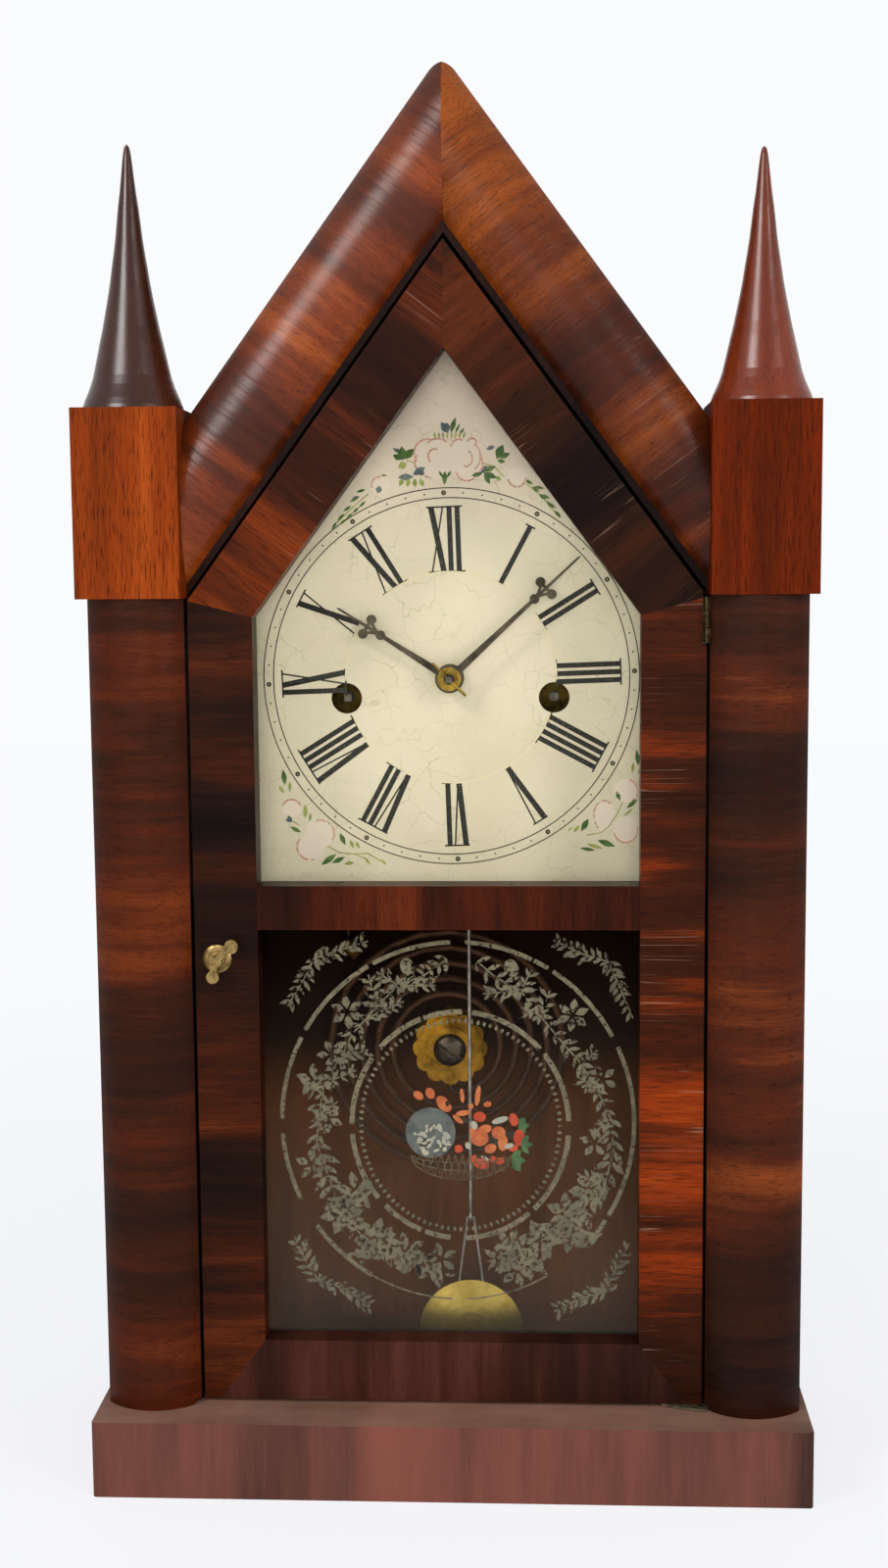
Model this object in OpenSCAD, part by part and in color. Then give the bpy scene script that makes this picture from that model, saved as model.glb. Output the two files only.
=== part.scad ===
// Steeple clock. A shelf clock with a pointed gable, two turned steeples on square blocks,
// half-round columns, one full-height glazed door, an eight-day spring movement,
// a short pendulum and a coil gong.
// Millimetres. X is to the right, Y to the back, Z up. The origin is the middle of the base's underside.

/* [Base] */
// half width of the base
base_half_w = 130.5; // [129:0.5:134]
// depth of the base from front to back
base_d = 110; // [109.5:0.5:114]
// height of the base
base_h = 28.4; // [27.6:0.2:29.2]
// width of the base's side rails
base_rail_w = 25.5; // [24:0.5:27]
// thickness of the floor board
floor_t = 8; // [6:0.5:9]

/* [Case] */
// half width over the case sides
case_half_w = 124; // [123:0.5:125]
// thickness of a case side
side_t = 10; // [8:0.5:10]
// thickness of the back board
back_t = 5.5; // [4.5:0.5:7]
// thickness of a roof board
roof_t = 10; // [8:0.5:11]
// slope of the roof, degrees above level
roof_angle = 53.5; // [53:0.1:54]

/* [Columns, blocks and steeples] */
// width of a half-round column
column_w = 34.4; // [32:0.2:35]
// how far a column stands out of its stile
column_bulge = 8.2; // [7:0.2:8.6]
// height of a column
column_h = 298; // [296:0.5:300]
// width and depth of a square block
block_w = 37.4; // [36.8:0.2:38]
// height of a square block
block_h = 66.5; // [65:0.5:69]
// height of the left steeple
steeple_h = 92.4; // [84:0.2:98]
// how much lower the worn tip of the right steeple is
steeple_wear = 4.6; // [0:0.2:6]
// diameter of a steeple at its foot
steeple_d = 36; // [32:0.2:36.6]
// diameter of a steeple's dowel
dowel_d = 8; // [6:0.5:10]

/* [Gable moulding] */
// width of the half-round moulding
moulding_w = 33.5; // [32.5:0.1:34.5]
// how far the moulding stands out of its board
moulding_bulge = 9; // [7.6:0.2:9.6]
// roundness of the outer apex
apex_round = 5.6; // [4:0.2:7]

/* [Door] */
// width of a front stile with the gap beside the door
front_stile_w = 32; // [31.6:0.1:32.4]
// thickness of the door
door_t = 16; // [15:0.2:16.6]
// width of a door stile beside its window
door_stile_w = 23; // [21:0.5:25]
// width of the sloping rails
door_rail_w = 22.1; // [20:0.1:24]
// height of the bottom rail
bottom_rail_h = 22.7; // [20:0.1:25]
// height of the crossbar
crossbar_h = 16; // [14:0.5:18]
// height of the tablet window
tablet_h = 154.4; // [150:0.2:158]
// thickness of the glass
glass_t = 1.4; // [1:0.1:2]
// width of the rabbet that holds the glass
rabbet_w = 3; // [2:0.2:4]
// diameter of the latch rosette
rosette_d = 10.3; // [9:0.1:12]
// height of the latch above the base
latch_up = 167.8; // [160:0.2:172]

/* [Dial and hands] */
// height of the dial's centre above the base
dial_up = 267.4; // [266.6:0.2:268.2]
// thickness of the dial sheet
dial_t = 0.8; // [0.5:0.1:1.2]
// diameter of a winding hole
winding_hole_d = 11.4; // [9:0.2:13]
// diameter of the centre hole
centre_hole_d = 10.4; // [8:0.2:11]
// length of the minute hand
minute_hand_l = 65.8; // [60:0.2:68]
// length of the hour hand
hour_hand_l = 49.2; // [44:0.2:54]
// thickness of a hand
hand_t = 0.8; // [0.6:0.1:1]
// diameter of the balls on the hands
hand_ball_d = 3.6; // [3:0.1:4]

/* [Movement] */
// half distance between the two winding arbors
winding_half_span = 38.6; // [38.2:0.1:39]
// how far the winding arbors lie below the dial's centre
winding_drop = 7.4; // [7:0.1:7.8]
// half width of the plates
plate_half_w = 64; // [63:0.5:68]
// thickness of a plate
plate_t = 1.6; // [1.2:0.1:1.8]
// diameter of the centre arbor
centre_arbor_d = 3.6; // [3.4:0.1:3.7]
// thickness of a mainspring's strip
spring_t = 0.8; // [0.5:0.1:1]

/* [Pendulum] */
// how far the pendulum hangs right of the dial's centre
pendulum_x = 6.2; // [6.1:0.05:6.4]
// diameter of the rod
rod_d = 1.4; // [1.1:0.1:1.5]
// diameter of the bob
bob_d = 40; // [36:0.5:42]
// thickness of the bob
bob_t = 10; // [6:0.5:12]

/* [Gong] */
// height of the gong above the base
gong_up = 116.6; // [112:0.2:120]
// diameter of the gong's brass boss
boss_d = 30; // [28:0.5:31]
// diameter of the gong wire
gong_wire_d = 2.8; // [2.2:0.1:3.2]
// turns of the gong coil
gong_turns = 5; // [3:1:5]

/* [Hidden] */
$fn = 96;
// running clearance of a pivot in its hole, on the radius
play = 0.06;
// clearance of a fixed peg in its hole, on the radius
peg_play = 0.03;
// smallest air gap between parts that pass each other
air = 0.3;
cut = 0.5;

slope = tan(roof_angle);
lean = cos(roof_angle);
door_half_w = case_half_w - front_stile_w;
window_half_w = door_half_w - door_stile_w;
door_front = -35.4;
door_back = door_front + door_t;
door_z = base_h + 1.2;
stile_front = -36.5;
stile_back = door_back - air;
gable_front = -31.4;
back_y = 47;
stile_in = door_half_w + 1;
column_in = stile_in + 0.2;
column_x = column_in + column_w / 2;
block_in = door_half_w + 0.6;
block_front = -45.3;
block_z = base_h + column_h;
block_top = block_z + block_h;
steeple_x = block_in + block_w / 2;
steeple_y = block_front + block_w / 2;
shoulder_z = block_z - 0.9;
door_apex = shoulder_z + door_half_w * slope;
board_apex = door_apex + 1.6 / lean;
moulding_apex = door_apex + 4 / lean;
roof_apex = moulding_apex + moulding_w / lean;
roof_in_apex = roof_apex - roof_t / lean;

tablet_z = door_z + bottom_rail_h;
tablet_top = tablet_z + tablet_h;
window_z = tablet_top + crossbar_h;
window_apex = door_apex - door_rail_w / lean;
glass_front = door_front + 9.4;
glass_back = glass_front + glass_t;
bead_back = glass_back + 2;
hinge_x = door_half_w - 0.15;
hinge_y = door_front - 1.4;
hinge_top = block_z - 0.8;
latch_x = -(door_half_w - 8.2);
latch_z = base_h + latch_up;

// movement
centre = [0, base_h + dial_up];
time_wind = [winding_half_span, centre[1] - winding_drop];
strike_wind = [-winding_half_span, centre[1] - winding_drop];
dial_front = -4;
plate_front = 6;
front_plate_back = plate_front + plate_t;
back_plate_front = 36.4;
plate_low = centre[1] - 52;
plate_high = centre[1] + 50;
mid_wheel_at = meet(centre, 22.5, time_wind, 25, -1);
third_at = [centre[0] + 20.8 * cos(117.5), centre[1] + 20.8 * sin(117.5)];
escape_at = [pendulum_x, third_at[1] + sqrt(15.84 * 15.84 - pow(pendulum_x - third_at[0], 2))];
verge_at = [pendulum_x, escape_at[1] + 14.7];
swing_z = verge_at[1] + 8;
motion_at = [centre[0] + 12 * cos(200), centre[1] + 12 * sin(200)];
pin_wheel_at = [strike_wind[0] + 25 * cos(-60), strike_wind[1] + 25 * sin(-60)];
warning_at = [pin_wheel_at[0] + 17 * cos(-20), pin_wheel_at[1] + 17 * sin(-20)];
fly_at = [warning_at[0] + 12.6, warning_at[1]];
hammer_at = [pin_wheel_at[0] - 21.9, pin_wheel_at[1] - 10.7];
rod_y = -0.4;
bob_z = base_h + 14.6;
crutch_z = centre[1] - 5.8;
gong_at = [-3, base_h + gong_up];
gong_y = 39;
gong_r = 50;
hand_y = -8.9;
minute_y = -11.4;

// where two circles cross; side picks the upper or the lower crossing
function meet(a, ra, b, rb, side) =
    let (dx = b[0] - a[0], dz = b[1] - a[1])
    let (d = sqrt(dx * dx + dz * dz))
    let (along = (ra * ra - rb * rb + d * d) / (2 * d))
    let (off = sqrt(ra * ra - along * along))
    [a[0] + (along * dx - side * off * dz) / d, a[1] + (along * dz + side * off * dx) / d];

function bearing(a, b) = atan2(b[1] - a[1], b[0] - a[0]);

// outline of a gear: half widths of a tooth are fractions of the pitch
function gear_points(teeth, module_mm, up, down, root_w, tip_w, phase) =
    let (r = module_mm * teeth / 2, p = 360 / teeth)
    [for (i = [0 : teeth - 1]) for (k = [[-root_w, -down], [-tip_w, up], [tip_w, up], [root_w, -down]])
        let (a = phase + p * (i + k[0]), q = r + module_mm * k[1]) [q * cos(a), q * sin(a)]];

// a gable-shaped outline with straight sides
function gable(half_w, low, apex) = [
    [-half_w, low],
    [half_w, low],
    [half_w, apex - half_w * slope],
    [0, apex],
    [-half_w, apex - half_w * slope]
];

// the right half of the roof outline between two slopes, cut off at a half width
function roof_half(low_apex, high_apex, half_w, round) =
    let (cz = high_apex - round / lean)
    concat(
        [[0, low_apex], [half_w, low_apex - half_w * slope], [half_w, high_apex - half_w * slope]],
        [for (i = [0 : 6])
            let (a = 90 - roof_angle + roof_angle * i / 6)
            [round * cos(a), cz + round * sin(a)]]
    );

// an outline in X and Z made thick between two depths
module slab(y0, y1) {
    translate([0, y1, 0])
        rotate([90, 0, 0])
            linear_extrude(y1 - y0)
                children();
}

// a round bar along Y
module bar(at, d, y0, y1) {
    translate([at[0], y0, at[1]])
        rotate([-90, 0, 0])
            cylinder(d = d, h = y1 - y0);
}

// a straight wire between two points
module wire(a, b, d) {
    v = b - a;
    l = norm(v);
    translate(a)
        rotate([0, acos(v[2] / l), atan2(v[1], v[0])])
            cylinder(d = d, h = l, $fn = 24);
}

module box(a, b) {
    translate(a)
        cube(b - a);
}

module mirrored(side) {
    if (side > 0) children();
    else mirror([1, 0, 0]) children();
}

module both() {
    children();
    mirror([1, 0, 0])
        children();
}

// wheel teeth are tall and pinion leaves are thin
module wheel_teeth(at, teeth, module_mm, phase, y0, y1) {
    translate([at[0], 0, at[1]])
        slab(y0, y1)
            polygon(gear_points(teeth, module_mm, 0.95, 1.15, 0.27, 0.09, phase));
}

module pinion_leaves(at, teeth, module_mm, phase, y0, y1) {
    translate([at[0], 0, at[1]])
        slab(y0, y1)
            polygon(gear_points(teeth, module_mm, 0.55, 1.35, 0.17, 0.10, phase));
}

// openings between the spokes of a wheel
module spokes(at, r_in, r_out, n, y0, y1) {
    for (i = [0 : n - 1])
        translate([at[0], 0, at[1]])
            rotate([0, 360 / n * (i + 0.5), 0])
                slab(y0 - cut, y1 + cut)
                    intersection() {
                        difference() {
                            circle(r = r_out);
                            circle(r = r_in);
                        }
                        polygon([
                            [r_in * 0.5, -r_in * 0.2],
                            [r_out * 1.2, -r_out * tan(180 / n - 7) * 1.2],
                            [r_out * 1.2, r_out * tan(180 / n - 7) * 1.2],
                            [r_in * 0.5, r_in * 0.2]
                        ]);
                    }
}

// arbor with thinner pivots in both plates
module arbor(at, d, pivot_d) {
    bar(at, d, front_plate_back + air, back_plate_front - air);
    bar(at, pivot_d, plate_front + 0.2, back_plate_front + plate_t - 0.2);
}

// the base
module base_front_rail() {
    color("#6b3b33")
        difference() {
            box([-base_half_w, -base_d / 2, 0], [base_half_w, -16, base_h]);
            for (s = [-1, 1])
                translate([s * base_half_w, -base_d / 2, -cut])
                    rotate([0, 0, 45])
                        cube([1.2, 1.2, 4 * base_h], center = true);
            pivot_pin_hole();
        }
}

module pivot_pin_hole() {
    translate([hinge_x, hinge_y, base_h - 6.4])
        cylinder(r = 1 + peg_play, h = 10);
}

module base_rails() {
    color("#5b332c") {
        both()
            box([base_half_w - base_rail_w, -16, 0], [base_half_w, base_d / 2, base_h]);
        box([base_rail_w - base_half_w, 35, 0], [base_half_w - base_rail_w, base_d / 2, base_h]);
    }
}

module case_floor() {
    color("#8a6a4a")
        box([base_rail_w - base_half_w, -16, 6], [base_half_w - base_rail_w, 35, 6 + floor_t]);
}

module block_space() {
    box([block_in, block_front, block_z], [block_in + block_w, block_front + block_w, block_top]);
}

module case_sides() {
    color("#5a2f20")
        both()
            difference() {
                slab(stile_back, back_y)
                    polygon([
                        [case_half_w - side_t, base_h],
                        [case_half_w, base_h],
                        [case_half_w, roof_in_apex - case_half_w * slope],
                        [case_half_w - side_t, roof_in_apex - (case_half_w - side_t) * slope]
                    ]);
                block_space();
            }
}

module back_board() {
    color("#7a5a3c")
        slab(back_y, back_y + back_t)
            intersection() {
                polygon([
                    [-case_half_w, base_h],
                    [case_half_w, base_h],
                    [case_half_w, roof_apex],
                    [-case_half_w, roof_apex]
                ]);
                union() {
                    polygon(roof_half(base_h, roof_apex, case_half_w, apex_round));
                    mirror([1, 0])
                        polygon(roof_half(base_h, roof_apex, case_half_w, apex_round));
                    polygon(gable(case_half_w, base_h, roof_apex - 14));
                }
            }
}

module roof_boards() {
    color("#5a2f20")
        both()
            difference() {
                slab(stile_back, back_y)
                    polygon(roof_half(roof_in_apex, roof_apex, case_half_w, apex_round));
                block_space();
            }
}

module gable_boards() {
    color("#4a2018")
        both()
            slab(gable_front, stile_back)
                polygon(roof_half(board_apex, roof_apex, block_in, apex_round));
}

// relief round the lower pivot
module pivot_space() {
    translate([hinge_x, hinge_y, base_h - cut])
        cylinder(r = 3.6, h = cut + 1.8);
}

module front_stile(side) {
    mirrored(side)
        difference() {
            box([stile_in, stile_front, base_h], [case_half_w, stile_back, block_z]);
            pivot_space();
        }
}

module front_stiles() {
    color("#4a2018") {
        front_stile(1);
        front_stile(-1);
    }
}

module column(side) {
    r = (column_w * column_w / 4 + column_bulge * column_bulge) / (2 * column_bulge);
    mirrored(side)
        difference() {
            intersection() {
                translate([column_x, stile_front - column_bulge + r, base_h])
                    cylinder(r = r, h = column_h);
                box([column_x - r, stile_front - r, base_h], [column_x + r, stile_front, block_z]);
            }
            pivot_space();
        }
}

module column_left() {
    color("#5d241a")
        column(-1);
}

module column_right() {
    color("#5d241a")
        column(1);
}

module gable_moulding(side) {
    r = (moulding_w * moulding_w / 4 + moulding_bulge * moulding_bulge) / (2 * moulding_bulge);
    mirrored(side)
        intersection() {
            slab(gable_front - moulding_bulge - 1, gable_front)
                polygon(roof_half(moulding_apex, roof_apex, block_in, apex_round));
            translate([0, gable_front - moulding_bulge + r, (moulding_apex + roof_apex) / 2])
                rotate([0, 90 + roof_angle, 0])
                    translate([0, 0, -40])
                        cylinder(r = r, h = 260);
        }
}

module gable_moulding_left() {
    color("#5d241a")
        gable_moulding(-1);
}

module gable_moulding_right() {
    color("#5d241a")
        gable_moulding(1);
}

module block(side) {
    mirrored(side)
        difference() {
            block_space();
            translate([steeple_x, steeple_y, block_top - 12.5])
                cylinder(r = dowel_d / 2 + peg_play, h = 13);
        }
}

module block_left() {
    color("#8c3a1f")
        block(-1);
}

module block_right() {
    color("#8c3a1f")
        block(1);
}

// radius and height of the steeple's flank, as fractions of the foot and of the height
steeple_flank = [
    [1, 0], [0.985, 0.014], [0.94, 0.038], [0.878, 0.066], [0.828, 0.09], [0.77, 0.125], [0.725, 0.165],
    [0.68, 0.205], [0.625, 0.255], [0.56, 0.31], [0.5, 0.37], [0.445, 0.425], [0.395, 0.48], [0.35, 0.54],
    [0.305, 0.595], [0.265, 0.65], [0.235, 0.705], [0.2, 0.765], [0.16, 0.82], [0.128, 0.875],
    [0.098, 0.93], [0.075, 0.965], [0.05, 0.988], [0, 1]
];

module steeple(side, h) {
    mirrored(side)
        translate([steeple_x, steeple_y, block_top]) {
            rotate_extrude()
                polygon(concat(
                    [[0, 0]],
                    [for (p = steeple_flank) [p[0] * steeple_d / 2, p[1] * h]]
                ));
            translate([0, 0, -12])
                cylinder(d = dowel_d, h = 12.5);
        }
}

module steeple_left() {
    color("#3c1a12")
        steeple(-1, steeple_h);
}

module steeple_right() {
    color("#4a1f14")
        steeple(1, steeple_h - steeple_wear);
}

// the door

// the closing edge of the door is planed back so that it clears its stile
module closing_bevel() {
    translate([0, 0, door_z - 1])
        linear_extrude(door_apex - door_z)
            polygon([
                [-door_half_w - 2, door_front - 1],
                [-door_half_w, door_front - 1],
                [-door_half_w, door_front],
                [-door_half_w + 1, door_back],
                [-door_half_w + 1, door_back + 1],
                [-door_half_w - 2, door_back + 1]
            ]);
}

// housing of the upper hinge in the door's edge
module hinge_notch() {
    box([door_half_w - 1.5, door_front - 1, hinge_top - 17.1],
        [door_half_w + 1, door_back + 1, block_z + 6]);
}

function tablet_outline(grow) = [
    [-window_half_w - grow, tablet_z - grow],
    [window_half_w + grow, tablet_z - grow],
    [window_half_w + grow, tablet_top + grow],
    [-window_half_w - grow, tablet_top + grow]
];

function window_outline(grow) = gable(window_half_w + grow, window_z - grow, window_apex + grow / lean);

module rabbets() {
    slab(glass_front, door_back + cut)
        polygon(tablet_outline(rabbet_w));
    slab(glass_front, door_back + cut)
        polygon(window_outline(rabbet_w));
}

window_shoulder = window_apex - window_half_w * slope;
mitre_x = door_half_w - 6;

module stile_outline() {
    polygon([
        [door_half_w, door_z],
        [door_half_w, shoulder_z],
        [window_half_w, window_shoulder],
        [window_half_w, tablet_z],
        [mitre_x, door_z]
    ]);
}

module door_stile_left() {
    color("#6a2418")
        difference() {
            mirror([1, 0, 0])
                slab(door_front, door_back)
                    stile_outline();
            rabbets();
            closing_bevel();
            bar([latch_x, latch_z], 3 + 2 * play, door_front - 1, door_back + 1);
        }
}

module door_stile_right() {
    color("#6a2418")
        difference() {
            slab(door_front, door_back)
                stile_outline();
            rabbets();
            hinge_notch();
        }
}

module rail_outline() {
    polygon([
        [0, window_apex],
        [window_half_w, window_shoulder],
        [door_half_w, shoulder_z],
        [0, door_apex]
    ]);
}

module door_rail_left() {
    color("#6a2418")
        difference() {
            mirror([1, 0, 0])
                slab(door_front, door_back)
                    rail_outline();
            rabbets();
            closing_bevel();
        }
}

module door_rail_right() {
    color("#6a2418")
        difference() {
            slab(door_front, door_back)
                rail_outline();
            rabbets();
            hinge_notch();
        }
}

module door_crossbar() {
    color("#7a3222")
        difference() {
            box([-window_half_w, door_front, tablet_top], [window_half_w, door_back, window_z]);
            rabbets();
        }
}

module door_bottom_rail() {
    color("#7a3222")
        difference() {
            slab(door_front, door_back)
                polygon([
                    [-mitre_x, door_z],
                    [mitre_x, door_z],
                    [window_half_w, tablet_z],
                    [-window_half_w, tablet_z]
                ]);
            rabbets();
        }
}

module dial_glass() {
    color("#cfe0e0", 0.3)
        slab(glass_front, glass_back)
            polygon(window_outline(rabbet_w - 0.2));
}

module tablet_glass() {
    color("#6a6a50", 0.6)
        slab(glass_front, glass_back)
            polygon(tablet_outline(rabbet_w - 0.2));
}

module glazing_beads() {
    color("#4a2018")
        slab(glass_back, bead_back) {
            difference() {
                polygon(window_outline(rabbet_w));
                polygon(window_outline(0.2));
            }
            difference() {
                polygon(tablet_outline(rabbet_w));
                polygon(tablet_outline(0.2));
            }
        }
}

// the hinges, the lower pivot and the latch
knuckle_r = 0.95;
knuckle_h = 5;

module at_hinge(z) {
    translate([hinge_x, hinge_y, z])
        children();
}

module hinge_fixed_half() {
    color("#5f6046") {
        difference() {
            union() {
                box([stile_in - 0.6, hinge_y, hinge_top - 16], [stile_in, stile_back - 0.3, hinge_top]);
                for (z = [hinge_top - 16, hinge_top - knuckle_h]) {
                    at_hinge(z)
                        cylinder(r = knuckle_r, h = knuckle_h);
                    box([hinge_x, hinge_y - 0.3, z], [stile_in, hinge_y + 0.3, z + knuckle_h]);
                }
            }
            at_hinge(hinge_top - 16 + knuckle_h)
                cylinder(r = knuckle_r + air, h = 16 - 2 * knuckle_h);
        }
        at_hinge(hinge_top - 16)
            cylinder(r = 0.4, h = 16);
    }
}

module hinge_door_half() {
    z0 = hinge_top - 16 + knuckle_h + air;
    h = 16 - 2 * knuckle_h - 2 * air;
    color("#6a6b4e")
        difference() {
            union() {
                difference() {
                    box([door_half_w - 1.5, hinge_y + 0.4, hinge_top - 16],
                        [door_half_w - 0.9, door_back - 2, hinge_top]);
                    at_hinge(hinge_top - 17)
                        cylinder(r = knuckle_r + air, h = z0 - hinge_top + 17);
                    at_hinge(z0 + h)
                        cylinder(r = knuckle_r + air, h = 10);
                }
                at_hinge(z0)
                    cylinder(r = knuckle_r, h = h);
                box([door_half_w - 1.5, hinge_y, z0], [hinge_x, hinge_y + 0.6, z0 + h]);
            }
            at_hinge(z0 - 1)
                cylinder(r = 0.4 + play, h = h + 2);
        }
}

module lower_pivot_pin() {
    color("#8a8060")
        at_hinge(base_h - 6)
            cylinder(r = 1, h = 7.4);
}

module lower_pivot_plate() {
    color("#9a9070")
        difference() {
            at_hinge(base_h + air)
                linear_extrude(door_z - base_h - air)
                    polygon(concat(
                        [for (a = [-120 : 10 : 120]) [3 * cos(a), 3 * sin(a)]],
                        [[-6, 5.4], [-10.5, 4.6], [-14.5, 1.6], [-10, 0.2], [-6, -1.4]]
                    ));
            at_hinge(base_h)
                cylinder(r = 1 + play, h = 2);
        }
}

module latch_rosette() {
    color("#c9a24a")
        translate([latch_x, door_front, latch_z])
            rotate([90, 0, 0])
                rotate_extrude()
                    polygon([
                        [1.5 + play, 0],
                        [rosette_d / 2, 0],
                        [rosette_d / 2, 0.7],
                        [rosette_d * 0.42, 1.2],
                        [rosette_d * 0.3, 1.3],
                        [rosette_d * 0.27, 1.9],
                        [1.5 + play, 2.1]
                    ]);
}

// thumb-piece in front, spindle through the stile, cam behind it
module latch_thumb_piece() {
    color("#c9a24a") {
        bar([latch_x, latch_z], 3, door_front - 4.6, door_back + 2.3);
        translate([latch_x, 0, latch_z]) {
            slab(door_front - 5.6, door_front - 2.4)
                union() {
                    circle(r = 2.3);
                    for (lobe = [[5.9, 5.3, 2.5], [-1.1, -5.9, 2.3]])
                        thumb_lobe(lobe);
                }
            slab(door_back + air, door_back + 2.3)
                union() {
                    circle(r = 3);
                    rotate(180 + 58) {
                        polygon([[0, -2.6], [11, -2], [11, 2], [0, 2.6]]);
                        translate([11, 0])
                            circle(r = 2);
                    }
                }
        }
    }
}

module thumb_lobe(lobe) {
    a = atan2(lobe[1], lobe[0]);
    d = norm([lobe[0], lobe[1]]);
    rotate(a) {
        polygon([[0, -1.1], [d, -1.3], [d, 1.3], [0, 1.1]]);
        translate([d, 0])
            circle(r = lobe[2]);
    }
}

// the dial and what holds it and the movement
screw_x = case_half_w - 24;

module dial_sheet() {
    color("#e6dcc6")
        slab(dial_front, dial_front + dial_t)
            difference() {
                polygon(gable(screw_x + 5, window_z - 10, window_apex + 24));
                translate(centre)
                    circle(d = centre_hole_d);
                for (p = [time_wind, strike_wind])
                    translate(p)
                        circle(d = winding_hole_d);
                for (s = [-1, 1])
                    for (z = [window_z + 4, window_z + 66])
                        translate([s * screw_x, z])
                            circle(r = 1 + peg_play);
            }
}

module mounting_blocks() {
    color("#a98458") {
        both()
            difference() {
                box([screw_x - 9, dial_front + dial_t, window_z - 10],
                    [case_half_w - side_t, 10, window_z + 74]);
                for (z = [window_z + 4, window_z + 66])
                    bar([screw_x, z], 2 + 2 * peg_play, dial_front, 8);
            }
        for (z = [plate_low + 6, plate_high - 18])
            difference() {
                box([-plate_half_w, back_plate_front + plate_t, z], [plate_half_w, back_y, z + 12]);
                for (s = [-1, 1])
                    bar([s * 56, z + 6], 2 + 2 * peg_play, back_plate_front, 46);
            }
    }
}

module screw(at, head_d, y, l) {
    difference() {
        union() {
            bar(at, head_d, y - 1.2, y);
            bar(at, 2, y - 0.5, y + l);
        }
        box([at[0] - 0.35, y - 1.7, at[1] - head_d], [at[0] + 0.35, y - 0.7, at[1] + head_d]);
    }
}

module fixing_screws() {
    color("#5c5a58") {
        for (s = [-1, 1]) {
            for (z = [window_z + 4, window_z + 66])
                screw([s * screw_x, z], 5, dial_front, 10);
            for (z = [plate_low + 12, plate_high - 12])
                screw([s * 56, z], 5, back_plate_front, 9);
        }
        gong_screw();
    }
}

module pivot_hole(at, d) {
    translate(at)
        circle(r = d / 2 + play);
}

module plate_outline() {
    w = plate_half_w;
    polygon([
        [-w + 6, plate_low],
        [w - 6, plate_low],
        [w, plate_low + 6],
        [w, plate_high - 6],
        [w - 6, plate_high],
        [-w + 6, plate_high],
        [-w, plate_high - 6],
        [-w, plate_low + 6]
    ]);
}

pillar_spots = [[58, -32], [58, 32], [-58, -32], [-58, 32]];
winding_d = 4;

module movement_plates() {
    color("#b48a3e") {
        slab(plate_front, front_plate_back)
            difference() {
                plate_outline();
                pivot_hole(centre, 6.2);
                for (p = [time_wind, strike_wind])
                    pivot_hole(p, winding_d);
                for (p = [mid_wheel_at, third_at, pin_wheel_at, warning_at, fly_at])
                    pivot_hole(p, 1);
                pivot_hole(escape_at, 1);
                pivot_hole(hammer_at, 1.4);
                for (p = pillar_spots)
                    translate(centre + p)
                        circle(r = 1.5 + peg_play);
                translate(verge_at)
                    circle(r = 0.8 + peg_play);
                translate([pendulum_x, swing_z + 3])
                    circle(r = 1.5 + peg_play);
                translate(motion_at)
                    circle(r = 0.8 + peg_play);
                both()
                    translate([30, centre[1] - 38])
                        circle(r = 8);
            }
        slab(back_plate_front, back_plate_front + plate_t)
            difference() {
                plate_outline();
                pivot_hole(centre, 1.6);
                for (p = [time_wind, strike_wind])
                    pivot_hole(p, 2.4);
                for (p = [mid_wheel_at, third_at, pin_wheel_at, warning_at, fly_at])
                    pivot_hole(p, 1);
                pivot_hole(escape_at, 1);
                pivot_hole(hammer_at, 1.4);
                for (p = pillar_spots)
                    translate(centre + p)
                        circle(r = 1.5 + peg_play);
                for (s = [-1, 1])
                    for (z = [plate_low + 12, plate_high - 12])
                        translate([s * 56, z])
                            circle(r = 1 + peg_play);
            }
    }
}

// pillars with pinned ends, the studs of the verge and the motion wheel, and the suspension post
module movement_pillars() {
    color("#c09a4c") {
        for (p = pillar_spots) {
            bar(centre + p, 6, front_plate_back, back_plate_front);
            difference() {
                bar(centre + p, 3, plate_front - 2.2, back_plate_front + plate_t);
                wire([centre[0] + p[0] - 3, plate_front - 0.7, centre[1] + p[1]],
                    [centre[0] + p[0] + 3, plate_front - 0.7, centre[1] + p[1]], 1);
            }
            wire([centre[0] + p[0] - 4, plate_front - 0.6, centre[1] + p[1]],
                [centre[0] + p[0] + 4, plate_front - 0.6, centre[1] + p[1]], 0.9);
        }
        bar(verge_at, 1.6, 1, front_plate_back);
        bar(verge_at, 2.6, 4.4, plate_front);
        bar(motion_at, 1.6, plate_front, 9.9);
        // suspension post with the top end of its spring
        bar([pendulum_x, swing_z + 3], 3, plate_front - 2, front_plate_back);
        box([pendulum_x - 1.6, -2.4, swing_z + 1.4], [pendulum_x + 1.6, plate_front, swing_z + 5]);
        box([pendulum_x - 0.1, -1.6, swing_z], [pendulum_x + 0.1, 0.8, swing_z + 1.5]);
    }
}

spring_turns = 6;
spring_in = 4.6;
spring_out = 18.6;
function spring_line(off) = [
    for (i = [0 : 24 * spring_turns])
        let (a = 15 * i, r = spring_in + (spring_out - spring_in) * i / (24 * spring_turns) + off)
        [r * cos(a), r * sin(a)]
];
function reversed(list) = [for (i = [len(list) - 1 : -1 : 0]) list[i]];

module mainspring(at, side) {
    translate([at[0], 0, at[1]])
        mirrored(side)
            slab(14.6, 31)
                polygon(concat(spring_line(0), reversed(spring_line(spring_t))));
}

module mainsprings() {
    color("#5d6468") {
        mainspring(time_wind, 1);
        mainspring(strike_wind, -1);
        // hooked outer ends
        for (s = [-1, 1])
            box([s * (winding_half_span + spring_out) - 0.1, 18, time_wind[1] - 0.4],
                [s * (winding_half_span + spring_out) + 0.1, 27, time_wind[1] + 0.4]);
    }
}

// the hands and the going train
minute_angle = 47.2;
hour_angle = -57.5;

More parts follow.
